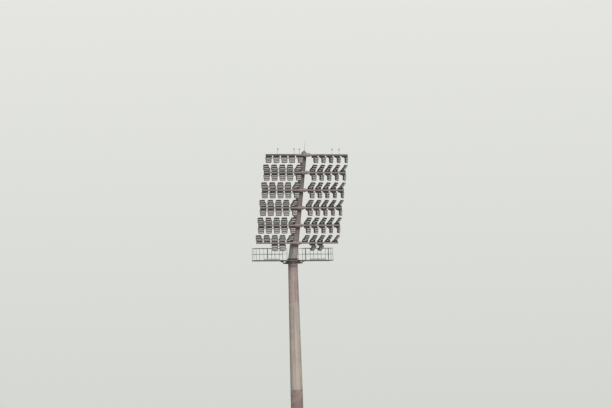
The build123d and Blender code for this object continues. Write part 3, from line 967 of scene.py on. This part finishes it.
def draw_through(bm, start, profile):
    """Draws a face through (distance, inset, finish) steps. The first face closes the start."""
    middle = lamp_height / 2 - pivot_inset
    distance, inset, start.material_index = profile[0]
    resize(bm, start, 0.0, inset, distance, middle)
    face = start
    for next_distance, next_inset, finish in profile[1:]:
        before = set(bm.faces)
        drawn = bmesh.ops.extrude_face_region(bm, geom=[face])["geom"]
        passed = face
        face = picked(drawn, bmesh.types.BMFace)[0]
        resize(bm, face, inset, next_inset, distance, middle)
        bmesh.ops.translate(bm, vec=(0, next_distance - distance, 0), verts=face.verts)
        finish_new(bm, before, finish)
        if passed is not start:
            bmesh.ops.delete(bm, geom=[passed], context="FACES_ONLY")
        distance, inset = next_distance, next_inset
    bmesh.ops.recalc_face_normals(bm, faces=bm.faces)


def resize(bm, face, inset, next_inset, distance, middle):
    """Shrinks an outline face from one inset to the next."""
    across = (lamp_wide_end / 2 - next_inset) / (lamp_wide_end / 2 - inset)
    along = (lamp_height / 2 - next_inset) / (lamp_height / 2 - inset)
    centre = Matrix.Translation((0, -distance, -middle))
    bmesh.ops.scale(bm, vec=(across, 1, along), space=centre, verts=face.verts)


def half_width_at(height):
    """From the middle of the floodlight's face to its sloping side."""
    taper = (lamp_wide_end - lamp_narrow_end) / 2 / lamp_height
    return lamp_wide_end / 2 - (height + pivot_inset) * taper


housing = bmesh.new()
draw_through(
    housing,
    lamp_outline(housing, lamp_back - 0.030),
    [
        (lamp_back - 0.030, 0.160, 2),
        (lamp_back - 0.050, 0.110, 2),
        (lamp_back - 0.100, 0.062, 2),
        (glass_seat, 0.036, 2),
        (glass_seat, 0.026, 1),
        (0.004 - lamp_front, 0.026, 1),
        (0.004 - lamp_front, 0.050, 1),
        (-lamp_front, 0.048, 1),
        (-lamp_front, 0.005, 1),
        (0.004 - lamp_front, 0.000, 1),
        (0.036 - lamp_front, 0.000, 1),
        (0.040 - lamp_front, 0.007, 1),
        (lamp_rim - lamp_front, 0.008, 0),
        (lamp_back - 0.024, 0.044, 0),
        (lamp_back - 0.012, 0.058, 0),
    ],
)
for rib in range(-5, 6):
    x = rib * rib_pitch
    add_bar(housing, (x - rib_half, lamp_back - 0.020, 0.050), (x + rib_half, lamp_back, 0.350))
for side in (-1, 1):
    add_rod(housing, (side * 0.250, 0, 0), (side * 0.288, 0, 0), 0.044, 16, 0.034)
    add_rod(housing, (side * 0.280, 0, 0), (side * ear_place, 0, 0), pivot_bar, 14)
    for clip in clip_heights:
        flank = side * half_width_at(clip + clip_length / 2)
        far_corner = (flank + side * 0.009, 0.048 - lamp_front, clip + clip_length)
        add_bar(housing, (flank, 0.002 - lamp_front, clip), far_corner, 0.003)

fittings = bmesh.new()
face_middle = lamp_height / 2 - pivot_inset
wing_depth = 0.100
wing_curl = 0.022
tube_cap = 0.040
for wing_middle in (face_middle - wing_offset, face_middle + wing_offset):
    sheet = bmesh.ops.create_grid(
        fittings,
        x_segments=2,
        y_segments=5,
        size=0.5,
        matrix=Matrix.Translation((0, 0.042 - lamp_front, wing_middle))
        @ Matrix.Rotation(math.pi / 2, 4, "X")
        @ Matrix.Diagonal((0.44, wing_depth, 1, 1)),
    )["verts"]
    for vert in sheet:
        across_wing = (vert.co.z - wing_middle) / (wing_depth / 2)
        vert.co.y += wing_curl * across_wing * across_wing
        vert.co.x *= 1 - 0.22 * max(0.0, vert.co.z)
bmesh.ops.solidify(fittings, geom=fittings.faces[:], thickness=0.003)
bmesh.ops.recalc_face_normals(fittings, faces=fittings.faces)
plain_faces = set(fittings.faces)
tube_middle = Vector((0, 0.060 - lamp_front, face_middle))
reach = Vector((0.150, 0, 0))
add_rod(fittings, tube_middle - reach, tube_middle + reach, 0.026, 14)
for side in (-1, 1):
    end = tube_middle + reach * side
    add_rod(fittings, end, end + Vector((side * tube_cap, 0, 0)), 0.030, 12, 0.024)
    stand = end + Vector((side * 0.027, 0, 0))
    add_bar(fittings, stand - Vector((0.006, 0.010, 0.012)), stand + Vector((0.006, 0.092, 0.012)))
finish_new(fittings, plain_faces, 1)


blade_half = 0.027
blade_margin = 0.040


def add_blades(fitted, *heights, lean):
    """Louvre blades riveted across the face, their near edges leaning out from it."""
    bm = fitted.copy()
    for height in heights:
        half_width = half_width_at(height) - blade_margin
        passed, known = set(bm.verts), set(bm.faces)
        hinge = Vector((0, 0.0035 - lamp_front, height + blade_half))
        low = (-half_width, 0.0015 - lamp_front, height - blade_half)
        add_bar(bm, low, hinge + Vector((half_width, 0, 0)), 0.0006)
        turn = Matrix.Rotation(math.radians(lean), 3, "X")
        bmesh.ops.rotate(bm, cent=hinge, matrix=turn, verts=[v for v in bm.verts if v not in passed])
        finish_new(bm, known, 2)
    return bm


two_blades = [face_middle + place for place in (-0.120, 0.120)]
three_blades = [face_middle + place for place in (-0.165, 0, 0.165)]
fittings_above = add_blades(fittings, *two_blades, lean=-24)
fittings_below = add_blades(fittings, *three_blades, lean=-3)

glass = bmesh.new()
draw_through(
    glass,
    lamp_outline(glass, glass_seat - 0.0008),
    [
        (glass_seat - 0.0008, 0.0272, 0),
        (glass_seat - 0.0045, 0.0272, 0),
        (glass_seat - 0.0065, 0.0292, 0),
    ],
)


def go_on(bm, edges, move):
    """Draws an open edge on in a straight line."""
    drawn = bmesh.ops.extrude_edge_only(bm, edges=edges)["geom"]
    verts = picked(drawn, bmesh.types.BMVert)
    bmesh.ops.translate(bm, vec=move, verts=verts)
    return [e for e in picked(drawn, bmesh.types.BMEdge) if all(v in verts for v in e.verts)]


def go_round(bm, edges, centre, axis, angle, steps):
    """Draws an open edge on around a bend."""
    verts = list(dict.fromkeys(v for e in edges for v in e.verts))
    spun = bmesh.ops.spin(
        bm, geom=verts + edges, cent=centre, axis=axis, angle=angle, steps=steps, use_duplicate=False
    )
    return picked(spun["geom_last"], bmesh.types.BMEdge)


def made_stirrup(pivot_height, pivot_reach):
    """A strap bent up and forward from its broad foot to the pivots, with discs and bolts."""
    bm = bmesh.new()
    outer = ear_place + strap_metal
    run = [bm.verts.new((-outer, y, stirrup_head)) for y in (-stirrup_foot / 2, stirrup_foot / 2)]
    straight_down = pivot_height + stirrup_head - strap_bend
    edge = go_on(bm, [bm.edges.new(run)], (0, 0, -straight_down))
    corner = Vector((-outer + strap_bend, 0, -pivot_height + strap_bend))
    edge = go_round(bm, edge, corner, (0, -1, 0), math.pi / 2, 3)
    edge = go_on(bm, edge, (2 * (outer - strap_bend), 0, 0))
    corner = Vector((outer - strap_bend, 0, -pivot_height + strap_bend))
    edge = go_round(bm, edge, corner, (0, -1, 0), math.pi / 2, 3)
    go_on(bm, edge, (0, 0, straight_down))
    for vert in bm.verts:
        risen = (vert.co.z + pivot_height) / (pivot_height + stirrup_head)
        vert.co.y *= 1 + risen * (stirrup_tip / stirrup_foot - 1)
        vert.co.y -= vert.co.z * pivot_reach / pivot_height
    round_off(bm, [v for v in bm.verts if v.co.z > stirrup_head - 0.001], 0.020, 2)
    bmesh.ops.recalc_face_normals(bm, faces=bm.faces)
    bmesh.ops.solidify(bm, geom=bm.faces[:], thickness=strap_metal)
    bmesh.ops.recalc_face_normals(bm, faces=bm.faces)
    for side in (-1, 1):
        disc = side * outer
        add_rod(bm, (disc, 0, 0), (disc + side * 0.002, 0, 0), 0.028, 16)
        add_bolt(bm, (disc + side * 0.002, 0, 0), (side, 0, 0), 0.013)
        add_bolt(bm, (side * 0.14, pivot_reach, strap_metal - pivot_height), (0, 0, 1), 0.016)
    return bm


gear_box = bmesh.new()
half = foot_size / 2
add_bar(gear_box, (-half.x, -half.y, 0), (half.x, half.y, foot_size.z), 0.007)
lid_edge = half.x - 0.02
box_rib_pitch = 0.030
add_bar(gear_box, (-lid_edge, -half.y - 0.005, 0.014), (lid_edge, -half.y + 0.001, 0.106), 0.002)
for x in (-0.24, 0.0, 0.24):
    for z in (0.024, 0.096):
        add_rod(gear_box, (x, -half.y - 0.004, z), (x, -half.y - 0.008, z), 0.006, 6)
for x in (-0.19, 0.19):
    add_rod(gear_box, (x, half.y - 0.001, 0.05), (x, half.y + 0.014, 0.05), 0.014, 6)
    add_rod(gear_box, (x, half.y + 0.013, 0.05), (x, half.y + 0.024, 0.05), 0.010, 10, 0.006)
for rib in range(-5, 6):
    x = rib * box_rib_pitch
    add_bar(gear_box, (x - 0.002, half.y - 0.001, 0.016), (x + 0.002, half.y + 0.010, 0.104))


def turned_over(source):
    """The same piece turned over, to hang below an arm."""
    over = source.copy()
    bmesh.ops.scale(over, vec=(1, 1, -1), verts=over.verts)
    bmesh.ops.reverse_faces(over, faces=over.faces)
    return over


def set_in(target, source, places):
    """Copies of a made shape, set into a piece at each of the places."""
    stock = bpy.data.meshes.new("stock")
    source.to_mesh(stock)
    for place in places:
        copy = stock.copy()
        copy.transform(place)
        target.from_mesh(copy)
        bpy.data.meshes.remove(copy)
    bpy.data.meshes.remove(stock)


def lamp_slots(tier, side):
    """The slots of an arm that hold a floodlight, side +1 above the arm and -1 below it."""
    if side > 0:
        return sorted(aims) if tier < 6 else []
    return sorted(lowest_arm_tilts) if tier == 1 else sorted(aims)


def on_arm(tier, slot, side, reach):
    """A slot's place, at a distance above or below the arm's face."""
    middle = (arm_low[tier] + arm_high[tier]) / 2
    rise = side * (arm_height / 2 + reach)
    return Matrix.Translation((slot * lamp_pitch, middle.y, middle.z + rise))


def strap_place(tier, slot, side):
    """Where a floodlight's pivots are, turned about its foot to its aim."""
    turn = Matrix.Rotation(math.radians(aims[slot]), 4, "Z")
    reach = Matrix.Translation((0, -pivot_reaches[side], side * pivot_heights[side]))
    return on_arm(tier, slot, side, foot_size.z) @ turn @ reach


def lamp_place(tier, slot, side):
    """The same, with the floodlight's tilt."""
    tilt = lowest_arm_tilts[slot] if tier == 1 and side < 0 else tilts[side]
    return strap_place(tier, slot, side) @ Matrix.Rotation(math.radians(tilt), 4, "X")


stirrups = {side: made_stirrup(pivot_heights[side], pivot_reaches[side]) for side in (1, -1)}
hanging = (housing, fittings_below, glass, stirrups[-1], gear_box)
ways = {
    1: (housing, fittings_above, glass, stirrups[1], gear_box),
    -1: [turned_over(source) for source in hanging],
}
for tier in tiers:
    lamps, insides, straps = bmesh.new(), bmesh.new(), bmesh.new()
    for side, (body, inside, _, strap, box) in ways.items():
        slots = lamp_slots(tier, side)
        set_in(lamps, body, [lamp_place(tier, slot, side) for slot in slots])
        set_in(insides, inside, [lamp_place(tier, slot, side) for slot in slots])
        set_in(straps, strap, [strap_place(tier, slot, side) for slot in slots])
        set_in(straps, box, [on_arm(tier, slot, side, 0) for slot in slots])
    finishes = [housing_paint, rim_paint, bowl_metal]
    make_piece(lamps, f"floodlights_arm_{tier}", "lamp_body", finishes, f"lamp_housings_arm_{tier}")
    finishes = [reflector_metal, tube_glass, blade_paint]
    make_piece(insides, f"reflectors_arm_{tier}", "lamp_body", finishes)
    steel = f"lamp_stirrups_arm_{tier}"
    make_piece(straps, f"stirrups_arm_{tier}", "stirrup_steel", [stirrup_paint], steel)

front_glass, tree, shader, place = new_finish("front glass")
dust = eased(tree, clouds(tree, place, 9.0, 4.0), 0.35, 0.75)
drips = eased(tree, clouds(tree, stretched(tree, place, (60.0, 60.0, 5.0)), 1.0, 3.0), 0.45, 0.75)
film = worked(tree, "MAXIMUM", dust, drips)
glass_tones = lamp_tones((136, 131, 128), (146, 130, 122), (160, 157, 151))(tree, place)
film_values = {
    "Base Color": mixed(tree, film, glass_tones, tone(124, 116, 110)),
    "Roughness": worked(tree, "MULTIPLY_ADD", film, 0.25, 0.04),
    "Normal": bumped(tree, film, 0.2, 0.0002),
    "IOR": 1.45,
    "Transmission Weight": 0.55,
}
feed_all(tree, shader, film_values)
for side, name in ((1, "above"), (-1, "below")):
    bm = bmesh.new()
    for tier in tiers:
        set_in(bm, ways[side][2], [lamp_place(tier, slot, side) for slot in lamp_slots(tier, side)])
    make_piece(bm, f"front_glass_{name}_arms", "lamp_glass", [front_glass], f"lamp_glass_{name}_arms")

# --- Obstruction lights -------------------------------------------------------------
# Small red aircraft-warning lights on tube stalks, flanged to the top arm. Each has a cast
# base, a ribbed lens that the sun has faded, and a screwed lid.

light_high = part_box("obstruction_lights")[1]
top_arm = (arm_low[6] + arm_high[6]) / 2
light_places = (-3.82, -1.67, -0.98, 3.36, 4.29)
stalk_radius = 0.015
light_height = 0.140

stalk_zinc = coated(
    "stalk zinc", weathered_zinc, 0.0004, metallic=0.5, spangle_scale=120.0, staining=0.5,
    roughness=0.5,
    bright=(160, 158, 154), dull=(126, 124, 120), stain=(104, 84, 66),
)
faded_lens = coated(
    "faded lens", weathered_paint, 0.0003, coat=0.4, pattern_scale=14.0, roughness=0.35,
    chalking=0.6, sooting=0.5, rusting=0.1,
    paint=(168, 124, 112), chalk=(196, 172, 160), soot=(120, 96, 86), rust=(120, 84, 70),
)

stalk = bmesh.new()
stalk_top = light_high[2] - light_height - (top_arm.z + arm_height / 2)
add_rod(stalk, (0, 0, 0), (0, 0, 0.008), 0.048, 20)
add_rod(stalk, (0, 0, 0.008), (0, 0, 0.022), 0.024, 16, 0.016)
add_rod(stalk, (0, 0, 0.008), (0, 0, stalk_top), stalk_radius, 14)
for out in around(4, 45):
    add_bolt(stalk, out * 0.036 + Vector((0, 0, 0.008)), (0, 0, 1), 0.008)


def turned(bm, profile, sides):
    """A round piece turned from its (radius, height) profile."""
    verts = [bm.verts.new((radius, 0, height)) for radius, height in profile]
    edges = [bm.edges.new(pair) for pair in zip(verts, verts[1:])]
    bmesh.ops.spin(
        bm,
        geom=verts + edges,
        cent=(0, 0, 0),
        axis=(0, 0, 1),
        angle=2 * math.pi,
        steps=sides,
        use_merge=True,
        use_duplicate=False,
    )
    bmesh.ops.remove_doubles(bm, verts=bm.verts, dist=0.00002)
    bmesh.ops.recalc_face_normals(bm, faces=bm.faces)


base_profile = (
    (0.0, 0.0),
    (0.030, 0.0),
    (0.034, 0.010),
    (0.060, 0.024),
    (0.065, 0.030),
    (0.065, 0.042),
    (0.0, 0.042),
)
body = bmesh.new()
turned(body, base_profile, 20)
lens = bmesh.new()
ribs = [(0.0, 0.0415), (0.056, 0.0415)]
for rib in range(6):
    ribs += [(0.060 - rib * 0.0022, 0.046 + rib * 0.012), (0.055 - rib * 0.0022, 0.052 + rib * 0.012)]
ribs += [(0.046, 0.116), (0.034, 0.127), (0.016, 0.132), (0.0, 0.133)]
turned(lens, ribs, 20)
lid = bmesh.new()
turned(lid, ((0.0, 0.1325), (0.017, 0.1320), (0.017, 0.137), (0.012, 0.1398), (0.0, 0.1398)), 16)
for screw in around(3):
    add_rod(body, screw * 0.060 + Vector((0, 0, 0.040)), screw * 0.060 + Vector((0, 0, 0.048)), 0.005, 6)
stalk_places = [
    Matrix.Translation((x * lamp_pitch, top_arm.y, top_arm.z + arm_height / 2)) for x in light_places
]
head_places = [place @ Matrix.Translation((0, 0, stalk_top)) for place in stalk_places]
bm = bmesh.new()
set_in(bm, stalk, stalk_places)
set_in(bm, body, head_places)
set_in(bm, lid, head_places)
make_piece(bm, "obstruction_light_stalks", "galvanised_steel", [stalk_zinc], "obstruction_lights")
bm = bmesh.new()
set_in(bm, lens, head_places)
make_piece(bm, "obstruction_light_lenses", "obstruction_red", [faded_lens])

# --- Platform ring and wings --------------------------------------------------------
# A hub and a ring beam on eight spokes are welded around the mast below the bend. They
# carry two wings of back-to-back channels, bolted down at their roots.

beam_low, beam_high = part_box("platform_frame")
floor_low, floor_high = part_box("platform_floor")
channel_metal = 0.007
channel_flange = 0.050
cross_width = 0.040
wing_start = 0.470
post_places = (0.82, 1.63, 2.44, 3.25, 4.06)
beam_bolt = 0.014
beam_bolt_heights = (0.018, 0.042)
root_bolt = 0.018
root_bolt_places = (0.56, 0.70)
root_bolt_line = 0.41

platform_paint = coated(
    "platform paint", weathered_paint, 0.001, pattern_scale=4.0, roughness=0.62,
    chalking=0.4, sooting=0.6, rusting=0.7,
    paint=(50, 51, 49), chalk=(78, 78, 74), soot=(28, 28, 28), rust=(92, 58, 42),
)
finish_node(platform_paint, "platform_support")

channel_paint = coated(
    "channel paint", weathered_paint, 0.001, pattern_scale=5.0, roughness=0.62,
    chalking=0.4, sooting=0.5, rusting=0.6,
    paint=(98, 99, 95), chalk=(124, 123, 118), soot=(56, 55, 53), rust=(98, 66, 50),
)


def add_channel(bm, start, length, along, opening, width, depth):
    """A channel of bent plate, drawn along from the outer lower corner of its web."""
    start, along, opening = Vector(start), Vector(along), Vector(opening)
    path = [start + opening * width, start, start + Vector((0, 0, depth))]
    path.append(path[2] + opening * width)
    verts = [bm.verts.new(point) for point in path]
    edges = [bm.edges.new(pair) for pair in zip(verts, verts[1:])]
    before = set(bm.faces)
    drawn = bmesh.ops.extrude_edge_only(bm, edges=edges)["geom"]
    bmesh.ops.translate(bm, vec=along * length, verts=picked(drawn, bmesh.types.BMVert))
    walls = [face for face in bm.faces if face not in before]
    bmesh.ops.recalc_face_normals(bm, faces=walls)
    web = min(walls, key=lambda wall: (wall.calc_center_median() - start).dot(opening))
    if web.normal.dot(opening) >= 0:
        bmesh.ops.reverse_faces(bm, faces=walls)
    bmesh.ops.solidify(bm, geom=walls, thickness=channel_metal)


bm = bmesh.new()
beam_depth = beam_high[2] - beam_low[2]
for side in (-1, 1):
    run = Vector((side, 0, 0))
    for face in (-1, 1):
        corner = (side * wing_start, face * beam_high[1], beam_low[2])
        add_channel(bm, corner, beam_high[0] - wing_start, run, (0, -face, 0), channel_flange, beam_depth)
    inner = beam_high[1] - channel_metal
    for x in (wing_start + cross_width / 2, *post_places):
        near = side * x - cross_width / 2
        start = (near, -inner, beam_low[2] + 0.008)
        add_channel(bm, start, 2 * inner, (0, 1, 0), (1, 0, 0), cross_width, beam_depth - 0.016)
        for face in (-1, 1):
            for z in beam_bolt_heights:
                seat = (side * x, face * beam_high[1], beam_low[2] + z)
                add_bolt(bm, seat, (0, face, 0), beam_bolt)
    for face in (-1, 1):
        for x in root_bolt_places:
            seat = (side * x, face * root_bolt_line, beam_low[2] + channel_metal)
            add_bolt(bm, seat, (0, 0, 1), root_bolt)
bmesh.ops.recalc_face_normals(bm, faces=bm.faces)
make_piece(bm, "wing_channels", "platform_steel", [channel_paint], "platform_frame")

# --- Platform floor -----------------------------------------------------------------
# Open galvanised grating in panels: flat bearing bars across the wing, twisted rods along
# it, and a flat band around the edge. Saddle clips hold it down.

bar_pitch = 0.0345
bar_thickness = 0.005
rod_pitch = 0.076
band_thickness = 0.005
panel_count = 3

grating_zinc = coated(
    "grating zinc", weathered_zinc, 0.0005, metallic=0.4, spangle_scale=90.0, staining=0.7,
    roughness=0.6,
    bright=(108, 110, 107), dull=(78, 80, 77), stain=(82, 62, 46),
)

floor_end = floor_high[0]
floor_length = floor_end - wing_start
bm = bmesh.new()
bearing_bar = bmesh.new()
add_bar(
    bearing_bar,
    (-bar_thickness / 2, floor_low[1] + band_thickness, floor_low[2] + 0.001),
    (bar_thickness / 2, floor_high[1] - band_thickness, floor_high[2] - 0.0005),
)
bar_count = int((floor_length - 0.02) / bar_pitch)
bar_start = wing_start + (floor_length - (bar_count - 1) * bar_pitch) / 2
bar_places = [bar_start + i * bar_pitch for i in range(bar_count)]
set_in(bm, bearing_bar, [Matrix.Translation((side * x, 0, 0)) for side in (-1, 1) for x in bar_places])
rod_count = int((floor_high[1] - floor_low[1]) / rod_pitch)
for side in (-1, 1):
    for i in range(rod_count):
        y = (i - (rod_count - 1) / 2) * rod_pitch
        level = floor_high[2] - 0.006
        start, end = side * (wing_start + 0.004), side * (floor_end - 0.004)
        add_rod(bm, (start, y, level), (end, y, level), 0.0038, 5)
    for face in (-1, 1):
        outer, inner = face * floor_high[1], face * (floor_high[1] - band_thickness)
        add_bar(bm, (side * wing_start, outer, floor_low[2]), (side * floor_end, inner, floor_high[2]))
    for panel in range(panel_count + 1):
        joint = wing_start + floor_length * panel / panel_count
        inward = band_thickness if panel < panel_count else -band_thickness
        add_bar(
            bm,
            (side * joint, floor_low[1] + band_thickness, floor_low[2]),
            (side * (joint + inward), floor_high[1] - band_thickness, floor_high[2]),
        )
    for x in post_places[1:-1]:
        for y in (-0.30, 0.30):
            clip = Vector((side * x, y, floor_high[2]))
            add_bar(bm, clip - Vector((0.024, 0.014, 0.003)), clip + Vector((0.024, 0.014, 0)), 0.001)
make_piece(bm, "floor_grating", "floor_grating", [grating_zinc], "platform_floor")

# --- Guard rails --------------------------------------------------------------------
# Welded rails of round tube: the top rail turns down into the first posts, and the middle
# rail runs through. Posts stand on foot plates, and toe boards are clipped inside them.

rail_low, rail_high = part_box("guardrail_front")
tube_radius = 0.020
rail_line = -rail_low[1] - tube_radius
mid_radius = 0.015
post_radius = 0.018
corner_bend = 0.080
bend_inset = 0.29
plate_half = Vector((0.045, 0.019, 0))
plate_rise = Vector((0, 0, 0.008))
foot_bolt = 0.010
foot_bolt_offset = 0.034
mid_rail_middle = floor_high[2] + 0.545
top_rail_middle = rail_high[2] - tube_radius
panel_posts = ((-2.44, 1), (1.63, 1), (4.06, 1))

rail_paint = coated(
    "rail paint", weathered_paint, 0.0006, pattern_scale=6.0, roughness=0.58,
    chalking=0.45, sooting=0.5, rusting=0.6,
    paint=(132, 132, 127), chalk=(158, 156, 150), soot=(80, 78, 75), rust=(108, 72, 56),
)

board_paint = coated(
    "toe board paint", weathered_paint, 0.0004, pattern_scale=4.0, roughness=0.6,
    chalking=0.45, sooting=0.5, rusting=0.5,
    paint=(168, 168, 162), chalk=(190, 188, 182), soot=(104, 102, 98), rust=(122, 86, 66),
)


def run_tube(bm, radius, sides, place, heading, route):
    """A bent tube: straight runs are lengths, and square bends are (new heading, radius)."""
    place, heading = Vector(place), Vector(heading)
    facing = Matrix.Translation(place) @ heading.to_track_quat("Z", "Y").to_matrix().to_4x4()
    ring = bmesh.ops.create_circle(bm, segments=sides, radius=radius, matrix=facing)["verts"]
    edges = edges_of(ring)
    for step in route:
        if isinstance(step, tuple):
            towards, bend = Vector(step[0]), step[1]
            centre = place + towards * bend
            edges = go_round(bm, edges, centre, heading.cross(towards), math.pi / 2, 5)
            place = centre + heading * bend
            heading = towards
        else:
            edges = go_on(bm, edges, heading * step)
            place = place + heading * step


bm = bmesh.new()
first_post, last_post = post_places[0], post_places[-1]
post_foot = beam_high[2]
for side in (-1, 1):
    outward = Vector((side, 0, 0))
    up_run = top_rail_middle - corner_bend - post_foot
    long_run = last_post - first_post - 2 * corner_bend
    cross_run = 2 * rail_line - 2 * corner_bend
    start = (side * first_post, -rail_line, post_foot)
    route = (
        up_run,
        (outward, corner_bend),
        long_run,
        ((0, 1, 0), corner_bend),
        cross_run,
        (-outward, corner_bend),
        long_run,
        ((0, 0, -1), corner_bend),
        up_run,
    )
    run_tube(bm, tube_radius, 12, start, (0, 0, 1), route)
    start = (side * first_post, -rail_line, mid_rail_middle)
    route = (
        last_post - first_post - corner_bend,
        ((0, 1, 0), corner_bend),
        cross_run,
        (-outward, corner_bend),
        last_post - first_post - corner_bend,
    )
    run_tube(bm, mid_radius, 10, start, outward, route)
bmesh.ops.holes_fill(bm, edges=[e for e in bm.edges if e.is_boundary], sides=0)
bmesh.ops.recalc_face_normals(bm, faces=bm.faces)
post_rise = Vector((0, 0, top_rail_middle - post_foot))
for side in (-1, 1):
    for face in (-1, 1):
        for x in post_places:
            inset = corner_bend * bend_inset if x == last_post else 0.0
            spot = Vector((side * (x - inset), face * (rail_line - inset), post_foot))
            if x != first_post:
                add_rod(bm, spot, spot + post_rise, post_radius, 12)
            weld = spot + plate_rise
            add_bar(bm, spot - plate_half, weld + plate_half, 0.002)
            add_rod(bm, weld, weld + Vector((0, 0, 0.006)), post_radius + 0.006, 12, post_radius)
            for end in (-foot_bolt_offset, foot_bolt_offset):
                add_bolt(bm, weld + Vector((end, 0, 0)), (0, 0, 1), foot_bolt)
    spot = Vector((side * last_post, 0, post_foot))
    add_rod(bm, spot, spot + post_rise, post_radius, 12)
for x, face in panel_posts:
    spot = Vector((x - math.copysign(0.045, x), face * rail_line, post_foot))
    half = Vector((0.02, 0.018, 0))
    add_bar(bm, spot - half, spot + half + post_rise, 0.003)
rails = ("guardrail_front", "guardrail_back", "guardrail_ends")
make_piece(bm, "tube_guardrails", "rail_steel", [rail_paint], *rails)

bm = bmesh.new()
toe_line = 0.3925
toe_metal = 0.004
toe_top = floor_high[2] + 0.120
clip_level = floor_high[2] + 0.070
clip_half = 0.020
toe_posts = post_places[1:4]
for side in (-1, 1):
    near, far = side * toe_posts[0], side * toe_posts[-1]
    front, back = -toe_line - toe_metal / 2, -toe_line + toe_metal / 2
    add_bar(bm, (near, front, floor_high[2] + 0.004), (far, back, toe_top), 0.001)
    add_bar(bm, (near, -toe_line, toe_top - toe_metal), (far, -toe_line + 0.016, toe_top), 0.001)
    for x in toe_posts:
        add_bar(
            bm,
            (side * x - clip_half, -rail_line + 0.012, clip_level - clip_half),
            (side * x + clip_half, -toe_line - 0.001, clip_level + clip_half),
            0.001,
        )
        seat = (side * x, -toe_line + toe_metal / 2, clip_level)
        add_bolt(bm, seat, (0, 1, 0), 0.007)
make_piece(bm, "toe_boards", "rail_steel", [board_paint])
